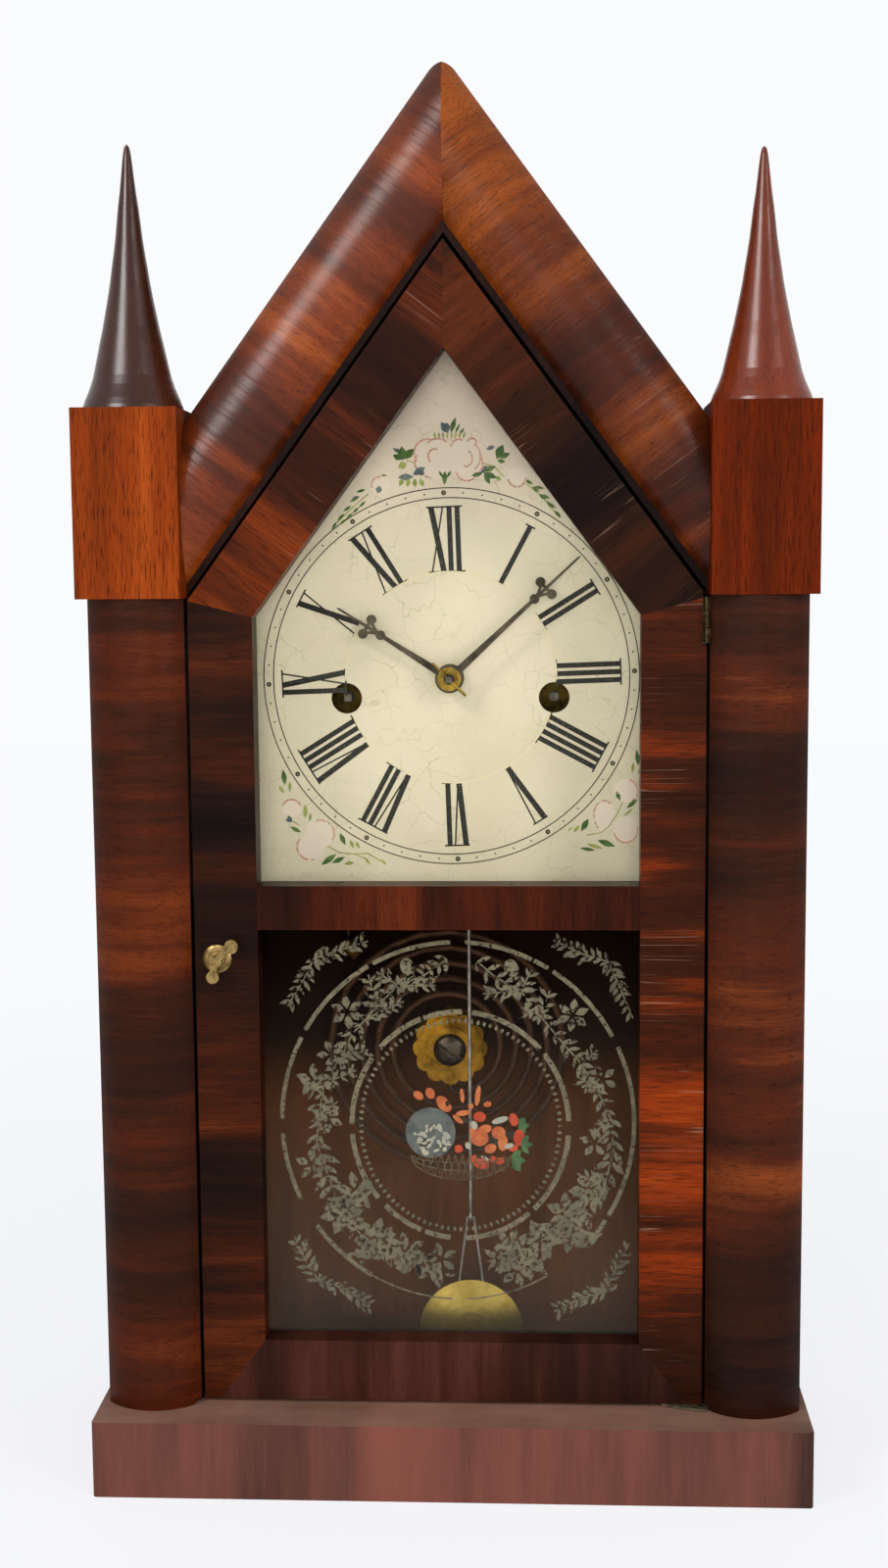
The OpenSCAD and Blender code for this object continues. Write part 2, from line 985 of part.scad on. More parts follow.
module minute_arbor() {
    color("#8f9498")
        difference() {
            union() {
                bar(centre, centre_arbor_d, minute_y + 1.2, back_plate_front - air);
                bar(centre, 1.6, back_plate_front - 1, back_plate_front + plate_t - 0.2);
                translate([centre[0], minute_y - 3.2, centre[1]])
                    rotate([-90, 0, 0])
                        translate([0, 0, 2.35])
                            cube([2.6, 2.6, 4.7], center = true);
                pinion_leaves(centre, 12, 0.5, bearing(centre, motion_at), 9, 9.9);
                pinion_leaves(centre, 30, 0.5, bearing(centre, mid_wheel_at), 10.6, 11.8);
                difference() {
                    wheel_teeth(centre, 96, 0.4, bearing(centre, third_at), 12.4, 13.4);
                    spokes(centre, 5, 16.6, 4, 12.4, 13.4);
                }
            }
            translate([centre[0], minute_y - 1.7, centre[1]])
                rotate([0, -45, 0])
                    rotate([0, 90, 0])
                        translate([0, 0, -10])
                            cylinder(r = 0.62, h = 20);
        }
}

// a stem, three balls and a point, lying along +X
module hand_outline(l, ball_at, hub_d) {
    circle(d = hub_d);
    polygon([
        [0, -1.5],
        [ball_at - 1, -0.7],
        [l - 1, -0.35],
        [l, 0],
        [l - 1, 0.35],
        [ball_at - 1, 0.7],
        [0, 1.5]
    ]);
    translate([ball_at, 0])
        circle(d = hand_ball_d);
    for (s = [-1, 1]) {
        translate([ball_at + 5.8, s * 3.05])
            circle(d = hand_ball_d);
        polygon([[ball_at, 0], [ball_at + 5.3, s * 2.6], [ball_at + 6.6, s * 2.2], [ball_at + 2.4, 0]]);
        polygon([
            [ball_at + 5.2, 0],
            [ball_at + 5.2, s * 2.4],
            [ball_at + 6.4, s * 2.4],
            [ball_at + 6.4, 0]
        ]);
    }
}

module minute_hand() {
    color("#2e2f33")
        translate([centre[0], 0, centre[1]])
            rotate([0, minute_angle - 90, 0])
                difference() {
                    union() {
                        slab(minute_y, minute_y + hand_t)
                            hand_outline(minute_hand_l, minute_hand_l - 23, 10.4);
                        bar([0, 0], 10.4, minute_y - 0.2, minute_y + 1.2);
                    }
                    rotate([0, 90 - minute_angle, 0])
                        translate([0, minute_y, 0])
                            cube([2.6, 6, 2.6], center = true);
                }
}

module hand_pin() {
    color("#c9a24a") {
        difference() {
            bar(centre, 8.8, minute_y - 1.2, minute_y - 0.2);
            bar(centre, 3.9, minute_y - 2, minute_y + 1);
        }
        translate([centre[0], minute_y - 1.7, centre[1]])
            rotate([0, -45, 0])
                rotate([0, 90, 0])
                    translate([0, 0, -8.6])
                        cylinder(r1 = 0.55, r2 = 0.42, h = 17.2);
    }
}

pipe_d = 6;

module hour_wheel() {
    color("#c0963f")
        difference() {
            union() {
                wheel_teeth(centre, 40, 0.48, bearing(motion_at, centre) + 180 + 180 / 40, 7.9, 8.7);
                bar(centre, pipe_d, hand_y - 0.4, 8.7);
            }
            bar(centre, centre_arbor_d + 2 * play, hand_y - 2, 10);
        }
}

module hour_hand() {
    color("#2e2f33")
        translate([centre[0], 0, centre[1]])
            rotate([0, hour_angle - 90, 0])
                difference() {
                    union() {
                        slab(hand_y, hand_y + hand_t)
                            hand_outline(hour_hand_l, hour_hand_l - 19.1, 10);
                        bar([0, 0], 10, hand_y - 0.4, hand_y + 1.4);
                    }
                    bar([0, 0], pipe_d + 2 * peg_play, hand_y - 2, hand_y + 3);
                }
}

module motion_wheel() {
    color("#c0963f")
        difference() {
            union() {
                wheel_teeth(motion_at, 36, 0.5, bearing(centre, motion_at) + 180 + 180 / 36, 9, 9.9);
                pinion_leaves(motion_at, 10, 0.48, bearing(motion_at, centre), 7.9, 9.2);
            }
            bar(motion_at, 1.6 + 2 * play, 7, 12);
        }
}

module intermediate_wheel() {
    color("#c0963f") {
        difference() {
            wheel_teeth(mid_wheel_at, 60, 0.5, bearing(centre, mid_wheel_at) + 180 + 180 / 60, 10.6, 11.8);
            spokes(mid_wheel_at, 4, 12.4, 4, 10.6, 11.8);
        }
        arbor(mid_wheel_at, 2.4, 1);
        pinion_leaves(mid_wheel_at, 10, 0.5, bearing(mid_wheel_at, time_wind), 33, 35.9);
    }
}

module third_wheel() {
    color("#c0963f") {
        difference() {
            wheel_teeth(third_at, 80, 0.36, bearing(third_at, escape_at), 28, 29);
            spokes(third_at, 3.4, 12, 4, 28, 29);
        }
        arbor(third_at, 1.4, 1);
        bar(third_at, 5, 26.6, 28.4);
        pinion_leaves(third_at, 8, 0.4, bearing(centre, third_at) + 180 + 180 / 8, 11.8, 14.2);
    }
}

escape_teeth = 28;
escape_r = 12;
pallet_angle = 5.5 * 180 / escape_teeth;
function escape_points() = [
    for (i = [0 : escape_teeth - 1])
        for (k = [[-0.5, 9.7], [0, escape_r], [0.06, escape_r], [0.24, 9.7]])
            let (a = 90 - pallet_angle + (i + 0.25 + k[0]) * 360 / escape_teeth)
            [k[1] * cos(a), k[1] * sin(a)]
];

module escape_wheel() {
    color("#c0963f") {
        difference() {
            translate([escape_at[0], 0, escape_at[1]])
                slab(2.5, 3.5)
                    polygon(escape_points());
            spokes(escape_at, 2.8, 8.2, 4, 2.5, 3.5);
        }
        bar(escape_at, 1, 2.6, back_plate_front + plate_t - 0.2);
        bar(escape_at, 3, 3.4, 4.6);
        bar(escape_at, 4, 25.8, 27.4);
        pinion_leaves(escape_at, 8, 0.36, bearing(third_at, escape_at) + 180 + 180 / 8, 27.2, 30);
    }
}

// the strip with its two pallets, its collet and the crutch with a loop round the rod
module verge() {
    px = (escape_r + 0.15) * sin(pallet_angle);
    pz = escape_at[1] - verge_at[1] + (escape_r + 0.15) * cos(pallet_angle);
    color("#8f9498") {
        difference() {
            union() {
                translate([verge_at[0], 0, verge_at[1]])
                    slab(2.4, 3.6) {
                        circle(r = 2);
                        for (s = [-1, 1])
                            polygon([[0, s > 0 ? 0.6 : -0.4], [s * 1.8, 1.5], [s * (px + 1.2), pz + 1.1],
                                [s * px, pz], [s * (px - 0.5), pz + 0.9], [s * 1.2, -0.9]]);
                    }
                bar(verge_at, 4, 0.8, 4.1);
            }
            bar(verge_at, 1.6 + 2 * play, 0, 6);
        }
        wire([verge_at[0], 1.2, verge_at[1] - 1.2], [verge_at[0], 1.2, crutch_z], 0.8);
        translate([pendulum_x, rod_y, crutch_z])
            rotate_extrude()
                translate([1.5, 0])
                    circle(r = 0.4, $fn = 24);
    }
}

rod_low = bob_z + 47;

module pendulum_rod() {
    color("#9ea3a6") {
        box([pendulum_x - 0.1, rod_y - 1.2, verge_at[1] - 2],
            [pendulum_x + 0.1, rod_y + 0.3, swing_z - air]);
        translate([pendulum_x, rod_y, rod_low])
            cylinder(d = rod_d, h = verge_at[1] - 1.4 - rod_low);
        // eye at the lower end
        translate([pendulum_x, rod_y, rod_low - 1.6])
            rotate([0, 90, 0])
                rotate_extrude()
                    translate([1.8, 0])
                        circle(r = 0.55, $fn = 24);
    }
    // wire bail of the bob
    color("#9ea3a6") {
        wire([pendulum_x - 1.4, rod_y, bail_z], [pendulum_x + 1.4, rod_y, bail_z], 1);
        for (s = [-1, 1])
            bail_leg(s, 1, foot_z);
    }
}

bail_z = rod_low - 2.3;
foot_z = bob_z + sqrt(bob_d * bob_d / 4 - 4.6 * 4.6) - 0.5;

module bail_leg(s, d, low_z) {
    top = [pendulum_x + s * 1.2, rod_y, bail_z + 0.3];
    foot = [pendulum_x + s * 4.6, rod_y, foot_z];
    wire(top, foot + (foot - top) * (foot_z - low_z) / 24, d);
}

module pendulum_bob() {
    color("#c9a24a")
        difference() {
            translate([pendulum_x, rod_y, bob_z])
                rotate([90, 0, 0])
                    rotate_extrude()
                        polygon(concat(
                            [for (i = [0 : 7]) let (q = bob_d / 2 * i / 7) [q, lens(q)]],
                            [for (i = [7 : -1 : 0]) let (q = bob_d / 2 * i / 7) [q, -lens(q)]]
                        ));
            for (s = [-1, 1])
                bail_leg(s, 1 + 2 * peg_play, foot_z - 0.1);
        }
}

// half thickness of the bob at a radius
function lens(q) = 0.7 + (bob_t / 2 - 0.7) * (1 - pow(2 * q / bob_d, 2));

// the great wheels, the ratchets and the striking train
module great_wheel(at, mate, side) {
    color("#c0963f") {
        difference() {
            wheel_teeth(at, 90, 0.5, bearing(mate, at) + 180 + 180 / 90, 33.5, 35.5);
            spokes(at, 13, 19.6, 5, 33.5, 35.5);
            bar(at, winding_d + 2 * play, 30, 37);
        }
        translate([at[0], 0, at[1]])
            mirrored(side) {
                // click and its spring, in front of the wheel
                slab(32.1, 33.8)
                    polygon([[ratchet_r + 0.15, -1.2], [ratchet_r + 3.5, -1.2], [ratchet_r + 3.9, 4.8],
                        [ratchet_r + 1.3, 5.3]]);
                bar([ratchet_r + 2.6, 3.4], 1.6, 31.6, 34);
            }
    }
}

ratchet_r = 8;
ratchet_teeth = 24;
function ratchet_points() = [
    for (i = [0 : ratchet_teeth - 1])
        for (k = [[0, 7], [0.08, ratchet_r - 0.2], [0.2, ratchet_r - 0.2]])
            let (a = (i + k[0]) * 360 / ratchet_teeth)
            [k[1] * cos(a), k[1] * sin(a)]
];

module winding_arbor(at, side) {
    color("#9ea3a6") {
        translate([at[0], 0, at[1]])
            mirrored(side)
                slab(32.1, 33.2)
                    polygon(ratchet_points());
        bar(at, winding_d, 4.6, back_plate_front - air);
        bar(at, 2.4, back_plate_front - 1, back_plate_front + plate_t - 0.2);
        translate([at[0], 2.6, at[1]])
            cube([2.8, 4.2, 2.8], center = true);
    }
}

module time_great_wheel() {
    great_wheel(time_wind, mid_wheel_at, 1);
}

module time_winding_arbor() {
    winding_arbor(time_wind, 1);
}

module strike_great_wheel() {
    great_wheel(strike_wind, pin_wheel_at, -1);
}

module strike_winding_arbor() {
    winding_arbor(strike_wind, -1);
}

module pin_wheel() {
    color("#c0963f") {
        difference() {
            wheel_teeth(pin_wheel_at, 60, 0.5, bearing(pin_wheel_at, warning_at), 10.6, 11.8);
            spokes(pin_wheel_at, 4, 9, 4, 10.6, 11.8);
        }
        for (i = [0 : 7])
            bar([pin_wheel_at[0] + 11 * cos(45 * i), pin_wheel_at[1] + 11 * sin(45 * i)], 1, 11.6, 14.2);
        arbor(pin_wheel_at, 2.4, 1);
        pinion_leaves(pin_wheel_at, 10, 0.5, bearing(pin_wheel_at, strike_wind), 33, 35.9);
    }
}

module warning_wheel() {
    color("#c0963f") {
        difference() {
            wheel_teeth(warning_at, 48, 0.45, bearing(warning_at, fly_at), 28, 29);
            spokes(warning_at, 3, 8.4, 4, 28, 29);
        }
        bar([warning_at[0], warning_at[1] + 9.2], 0.9, 28.8, 31);
        arbor(warning_at, 1.4, 1);
        bar(warning_at, 4.6, 26.8, 28.4);
        pinion_leaves(warning_at, 8, 0.5, bearing(pin_wheel_at, warning_at) + 180 + 180 / 8, 10.1, 12.4);
    }
}

module fly() {
    color("#c0963f") {
        arbor(fly_at, 1.4, 1);
        pinion_leaves(fly_at, 8, 0.45, bearing(warning_at, fly_at) + 180 + 180 / 8, 27.4, 29.8);
        box([fly_at[0] - 10.6, 14, fly_at[1] - 0.3], [fly_at[0] + 10.6, 25.6, fly_at[1] + 0.3]);
        bar(fly_at, 3, 14, 25.6);
    }
}

hammer_y = 24;

// arbor with a tail by the pins, a bent wire and a leather-tipped brass head beside the coil
module hammer() {
    head_x = gong_at[0] - (gong_r + gong_wire_d / 2 + 5.2) * cos(45);
    head_z = gong_at[1] + (gong_r + gong_wire_d / 2 + 5.2) * sin(45);
    color("#a58a4a") {
        bar(hammer_at, 2.6, front_plate_back + air, back_plate_front - air);
        bar(hammer_at, 1.4, plate_front + 0.2, back_plate_front + plate_t - 0.2);
        bar(hammer_at, 5, hammer_y - 2, hammer_y + 2);
        bar(hammer_at, 4.4, 12.4, 14.4);
        translate([hammer_at[0], 0, hammer_at[1]])
            rotate([0, -bearing(hammer_at, pin_wheel_at), 0])
                slab(12.8, 14)
                    polygon([[0, -1.2], [11.6, -0.5], [11.6, 0.5], [0, 1.2]]);
        wire([hammer_at[0], hammer_y, hammer_at[1]], [hammer_at[0], hammer_y, plate_low - 5], 1.6);
        wire([hammer_at[0], hammer_y - 0.5, plate_low - 5],
            [hammer_at[0], gong_y + 0.5, plate_low - 5], 1.6);
        wire([hammer_at[0], gong_y, plate_low - 4.5], [head_x, gong_y, head_z], 1.6);
        translate([head_x, gong_y, head_z])
            rotate([0, 135, 0])
                translate([0, 0, -4])
                    cylinder(d = 8, h = 8);
    }
}

// the gong
module gong_boss() {
    color("#c9a24a")
        difference() {
            union() {
                bar(gong_at, boss_d - 4, 35, back_y);
                for (i = [0 : 11])
                    bar(gong_at + (boss_d / 2 - 4) * [cos(30 * i), sin(30 * i)], 8, 36, back_y);
                bar(gong_at, boss_d - 12, 33.6, 36);
            }
            bar(gong_at, 4 + 2 * peg_play, 30, 50);
            // socket of the coil's inner end
            wire([gong_at[0], gong_y, gong_at[1] - lead_in + peg_play],
                [gong_at[0], gong_y, gong_at[1] - boss_d / 2 - 1], gong_wire_d + 2 * peg_play);
        }
}

module gong_screw() {
    difference() {
        union() {
            translate([gong_at[0], 33.6, gong_at[1]])
                rotate([90, 0, 0])
                    rotate_extrude()
                        polygon([[0, 0], [6.6, 0], [6.4, 1], [5.6, 2], [4.2, 2.9], [2.4, 3.4], [0, 3.6]]);
            bar(gong_at, 4, 33, back_y - 0.5);
        }
        translate([gong_at[0], 30.4, gong_at[1]])
            rotate([0, 35, 0])
                cube([16, 2.2, 1.1], center = true);
    }
}

gong_steps = 24 * gong_turns;
gong_start = boss_d / 2 + 3.6;
lead_in = boss_d / 2 - 1.2;
// centre line of the coil: a straight lead out of the boss, a bend, then an even spiral
function gong_line() = concat(
    [[0, -lead_in], [0, -lead_in - 1.3]],
    [for (k = [[-2.2, -90], [-1.1, -89], [-0.3, -86], [0.05, -81]])
        [(gong_start + k[0]) * cos(k[1]), (gong_start + k[0]) * sin(k[1])]],
    [for (i = [1 : gong_steps])
        let (a = -90 + 15 * i, r = gong_start + (gong_r - gong_start) * i / gong_steps)
        [r * cos(a), r * sin(a)]]
);

function ring(points, i, d) =
    let (n = len(points), p = points[i], a = points[max(i - 1, 0)], b = points[min(i + 1, n - 1)])
    let (t = (b - a) / norm(b - a))
    [for (k = [0 : 5]) let (u = d / 2 * cos(60 * k), v = d / 2 * sin(60 * k))
        [gong_at[0] + p[0] - t[1] * u, gong_y + v, gong_at[1] + p[1] + t[0] * u]];

module gong_coil() {
    line = gong_line();
    n = len(line);
    points = [for (i = [0 : n - 1]) each ring(line, i, gong_wire_d)];
    sides = [for (i = [0 : n - 2]) for (k = [0 : 5])
        [i * 6 + k, i * 6 + (k + 1) % 6, (i + 1) * 6 + (k + 1) % 6, (i + 1) * 6 + k]];
    color("#3d3a38")
        polyhedron(
            points = points,
            faces = concat(
                [[5, 4, 3, 2, 1, 0]],
                sides,
                [[for (k = [0 : 5]) (n - 1) * 6 + k]]
            ),
            convexity = 12
        );
}

// least air between two turns of a wound line, from its points
function least_gap(line, apart, thick) =
    min([
        for (i = [0 : len(line) - 1])
            for (j = [i + apart : len(line) - 1])
                norm(line[i] - line[j])
    ]) - thick;
gong_wound = [for (i = [6 : len(gong_line()) - 1]) gong_line()[i]];
echo("least gap of the gong coil", least_gap(gong_wound, 12, gong_wire_d));
echo("least gap of a mainspring", least_gap(spring_line(0), 12, spring_t));

base_front_rail();
base_rails();
case_floor();
case_sides();
back_board();
roof_boards();
gable_boards();
front_stiles();
column_left();
column_right();
gable_moulding_left();
gable_moulding_right();
block_left();
block_right();
steeple_left();
steeple_right();
door_stile_left();
door_stile_right();
door_rail_left();
door_rail_right();
door_crossbar();
door_bottom_rail();
dial_glass();
tablet_glass();
glazing_beads();
hinge_fixed_half();
hinge_door_half();
lower_pivot_pin();
lower_pivot_plate();
latch_rosette();
latch_thumb_piece();
dial_sheet();
mounting_blocks();
fixing_screws();
movement_plates();
movement_pillars();
mainsprings();
minute_arbor();
minute_hand();
hand_pin();
hour_wheel();
hour_hand();
motion_wheel();
intermediate_wheel();
third_wheel();
escape_wheel();
verge();
pendulum_rod();
pendulum_bob();
time_great_wheel();
time_winding_arbor();
strike_great_wheel();
strike_winding_arbor();
pin_wheel();
warning_wheel();
fly();
hammer();
gong_boss();
gong_coil();
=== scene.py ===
"""Looks of the steeple clock: veneers, metals, glass, the painted dial and the painted tablet."""

import logging
import math
import random
from dataclasses import dataclass, field
from enum import Enum

import bmesh
import bpy
from mathutils import Matrix, Vector

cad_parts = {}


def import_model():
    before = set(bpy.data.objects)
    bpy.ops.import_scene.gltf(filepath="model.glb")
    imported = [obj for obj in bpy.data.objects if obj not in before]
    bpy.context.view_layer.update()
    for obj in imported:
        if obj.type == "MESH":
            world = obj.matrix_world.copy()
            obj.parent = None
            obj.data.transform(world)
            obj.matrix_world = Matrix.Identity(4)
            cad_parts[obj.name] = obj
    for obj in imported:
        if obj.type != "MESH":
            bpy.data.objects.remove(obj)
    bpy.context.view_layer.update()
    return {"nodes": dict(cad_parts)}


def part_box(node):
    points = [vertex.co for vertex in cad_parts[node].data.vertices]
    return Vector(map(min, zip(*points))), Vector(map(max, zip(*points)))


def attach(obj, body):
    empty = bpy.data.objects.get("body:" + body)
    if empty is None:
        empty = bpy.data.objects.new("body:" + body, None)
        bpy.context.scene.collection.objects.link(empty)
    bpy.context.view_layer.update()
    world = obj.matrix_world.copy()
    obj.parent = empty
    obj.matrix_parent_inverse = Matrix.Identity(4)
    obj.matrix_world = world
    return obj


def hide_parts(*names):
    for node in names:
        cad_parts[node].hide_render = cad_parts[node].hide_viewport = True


log = logging.getLogger("steeple_clock")
MM = 0.001

Socket = bpy.types.NodeSocket
Parts = dict[str, bpy.types.Object]
Pair = tuple[float, float]
Triple = tuple[float, float, float]


class Fibre(Enum):
    """Direction in which the fibres of a piece of veneer run, as an (x, y, z) vector."""

    LEVEL = (1.0, 0.0, 0.0)
    UPRIGHT = (0.0, 0.0, 1.0)
    LEFT_GABLE = (-0.804, 0.0, 0.595)
    RIGHT_GABLE = (0.804, 0.0, 0.595)


class Coat(Enum):
    """How far in front of the dial sheet a coat of paint lies, in millimetres."""

    PETALS = 0.03
    INK = 0.06
    OUTLINES = 0.08
    LEAVES = 0.09
    SWELL = 0.1
    DOTS = 0.12


DEPTH = (0.0, 1.0, 0.0)
PLAIN_AXES = (Fibre.LEVEL.value, DEPTH, Fibre.UPRIGHT.value)


def linear(code: str) -> tuple[float, float, float, float]:
    """Turns a written colour into linear light.

    Args:
        code: Six hexadecimal digits, red first.

    Returns:
        Red, green and blue in linear light, and an alpha of 1.
    """
    parts = [int(code[i : i + 2], 16) / 255 for i in (0, 2, 4)]
    return tuple([c / 12.92 if c < 0.04045 else ((c + 0.055) / 1.055) ** 2.4 for c in parts] + [1.0])


class Shader:
    """A small helper that adds and joins the nodes of one material or of the world."""

    def __init__(self, name: str, world: bool = False) -> None:
        """Starts a material or a world with an empty tree.

        Args:
            name: Its name.
            world: Whether it is the world and not a material.
        """
        self.data = (bpy.data.worlds if world else bpy.data.materials).new(name)
        self.data.use_nodes = True
        self.tree = self.data.node_tree
        self.tree.nodes.clear()
        self.output = self.node("OutputWorld" if world else "OutputMaterial")

    def feed(self, target: Socket, value: object) -> None:
        """Joins a socket to an input, or writes a value there.

        Args:
            target: The input.
            value: A socket, a number, or a colour of six digits.
        """
        if isinstance(value, Socket):
            self.tree.links.new(value, target)
        else:
            target.default_value = linear(value) if isinstance(value, str) else value

    def node(self, kind: str, **settings: object) -> bpy.types.Node:
        """Adds a node.

        Args:
            kind: The node's type name without its Shader prefix.
            settings: Properties of the node, or what its inputs of that name are fed with.

        Returns:
            The new node.
        """
        made = self.tree.nodes.new("ShaderNode" + kind)
        for key, value in settings.items():
            if hasattr(made, key):
                setattr(made, key, value)
            else:
                self.feed(made.inputs[key.replace("_", " ")], value)
        return made

    def maths(self, kind: str, a: object, b: object, clamp: bool = False) -> Socket:
        """Adds a maths node.

        Args:
            kind: Its operation.
            a: The first socket or number.
            b: The second one.
            clamp: Whether the result is kept within 0 and 1.

        Returns:
            The result.
        """
        made = self.node("Math", operation=kind, use_clamp=clamp)
        self.feed(made.inputs[0], a)
        self.feed(made.inputs[1], b)
        return made.outputs[0]

    def plus(self, a: object, b: object, clamp: bool = False) -> Socket:
        """Adds two sockets or numbers."""
        return self.maths("ADD", a, b, clamp)

    def minus(self, a: object, b: object, clamp: bool = False) -> Socket:
        """Subtracts the second socket or number from the first."""
        return self.maths("SUBTRACT", a, b, clamp)

    def times(self, a: object, b: object, clamp: bool = False) -> Socket:
        """Multiplies two sockets or numbers."""
        return self.maths("MULTIPLY", a, b, clamp)

    def above(self, value: Socket, start: float, gain: float) -> Socket:
        """Gives how far a value lies above a start, times a gain, kept within 0 and 1."""
        return self.times(self.minus(value, start), gain, clamp=True)

    def point(self) -> Socket:
        """Gives the place on the object."""
        return self.node("TexCoord").outputs["Object"]

    def normal(self, axis: str) -> Socket:
        """Gives how far the surface faces along an axis."""
        return self.node("SeparateXYZ", Vector=self.node("NewGeometry").outputs["Normal"]).outputs[axis]

    def place(self, axes: tuple[Triple, ...], scales: Triple, shift: float) -> Socket:
        """Gives object coordinates measured along three directions and stretched.

        Args:
            axes: The three unit directions.
            scales: How many times each coordinate is multiplied.
            shift: An offset added to all three, so that pieces differ.

        Returns:
            The vector socket.
        """
        where, joined = self.point(), self.node("CombineXYZ")
        for target, axis, scale in zip(joined.inputs, axes, scales):
            dot = self.node("VectorMath", operation="DOT_PRODUCT", Vector=where)
            dot.inputs[1].default_value = [scale * c for c in axis]
            self.feed(target, self.plus(dot.outputs["Value"], shift))
        return joined.outputs[0]

    def noise(self, vector: Socket, detail: float = 3.0, rough: float = 0.55,
              distortion: float = 0.0) -> Socket:
        """Adds a noise texture read at a vector and returns its factor socket."""
        return self.node("TexNoise", Vector=vector, Scale=1.0, Detail=detail, Roughness=rough,
                         Distortion=distortion).outputs["Fac"]

    def cloud(self, scale: float, shift: float = 0.0, detail: float = 3.0, rough: float = 0.55) -> Socket:
        """Adds a noise that is the same in every direction and returns its factor socket."""
        return self.noise(self.place(PLAIN_AXES, (scale,) * 3, shift), detail, rough)

    def fade(self, value: Socket, reach: Pair, amount: Pair = (0.0, 1.0), soft: bool = True) -> Socket:
        """Maps a value from one range onto another.

        Args:
            value: The value.
            reach: Where the change starts and ends.
            amount: What it gives at these two places.
            soft: Whether the change eases in and out.

        Returns:
            The mapped value.
        """
        kind = "SMOOTHSTEP" if soft else "LINEAR"
        return self.node("MapRange", interpolation_type=kind, Value=value, From_Min=reach[0],
                         From_Max=reach[1], To_Min=amount[0], To_Max=amount[1]).outputs[0]

    def height_fade(self, reach: Pair, amount: Pair = (0.0, 1.0), soft: bool = True) -> Socket:
        """Fades by the height on the object, in metres."""
        height = self.node("SeparateXYZ", Vector=self.point()).outputs["Z"]
        return self.fade(height, reach, amount, soft)

    def ramp(self, factor: Socket, stops: dict[float, str]) -> Socket:
        """Maps a factor onto written colours.

        Args:
            factor: The factor.
            stops: The colours by their places, from 0 to 1.

        Returns:
            The colour.
        """
        made = self.node("ValToRGB", Fac=factor)
        band = made.color_ramp
        while len(band.elements) < len(stops):
            band.elements.new(0.5)
        for element, (at, code) in zip(band.elements, stops.items()):
            element.position = at
            element.color = linear(code)
        return made.outputs["Color"]

    def blend(self, factor: Socket, a: Socket, b: str) -> Socket:
        """Covers a colour with a written one.

        Args:
            factor: How much of it is covered.
            a: The colour.
            b: The written colour that covers it.

        Returns:
            The blended colour.
        """
        made = self.node("Mix", data_type="RGBA")
        for number, value in ((0, factor), (6, a), (7, b)):
            self.feed(made.inputs[number], value)
        return made.outputs[2]

    def mixed(self, factor: Socket, first: bpy.types.Node, second: bpy.types.Node) -> bpy.types.Node:
        """Mixes two shaders.

        Args:
            factor: The share of the second one.
            first: The first shader's node.
            second: The second shader's node.

        Returns:
            The mixing node.
        """
        made = self.node("MixShader")
        for target, value in zip(made.inputs, (factor, first.outputs[0], second.outputs[0])):
            self.feed(target, value)
        return made

    def finished(self, shader: bpy.types.Node) -> bpy.types.ID:
        """Joins the last shader to the output and returns the material or the world."""
        self.feed(self.output.inputs[0], shader.outputs[0])
        return self.data


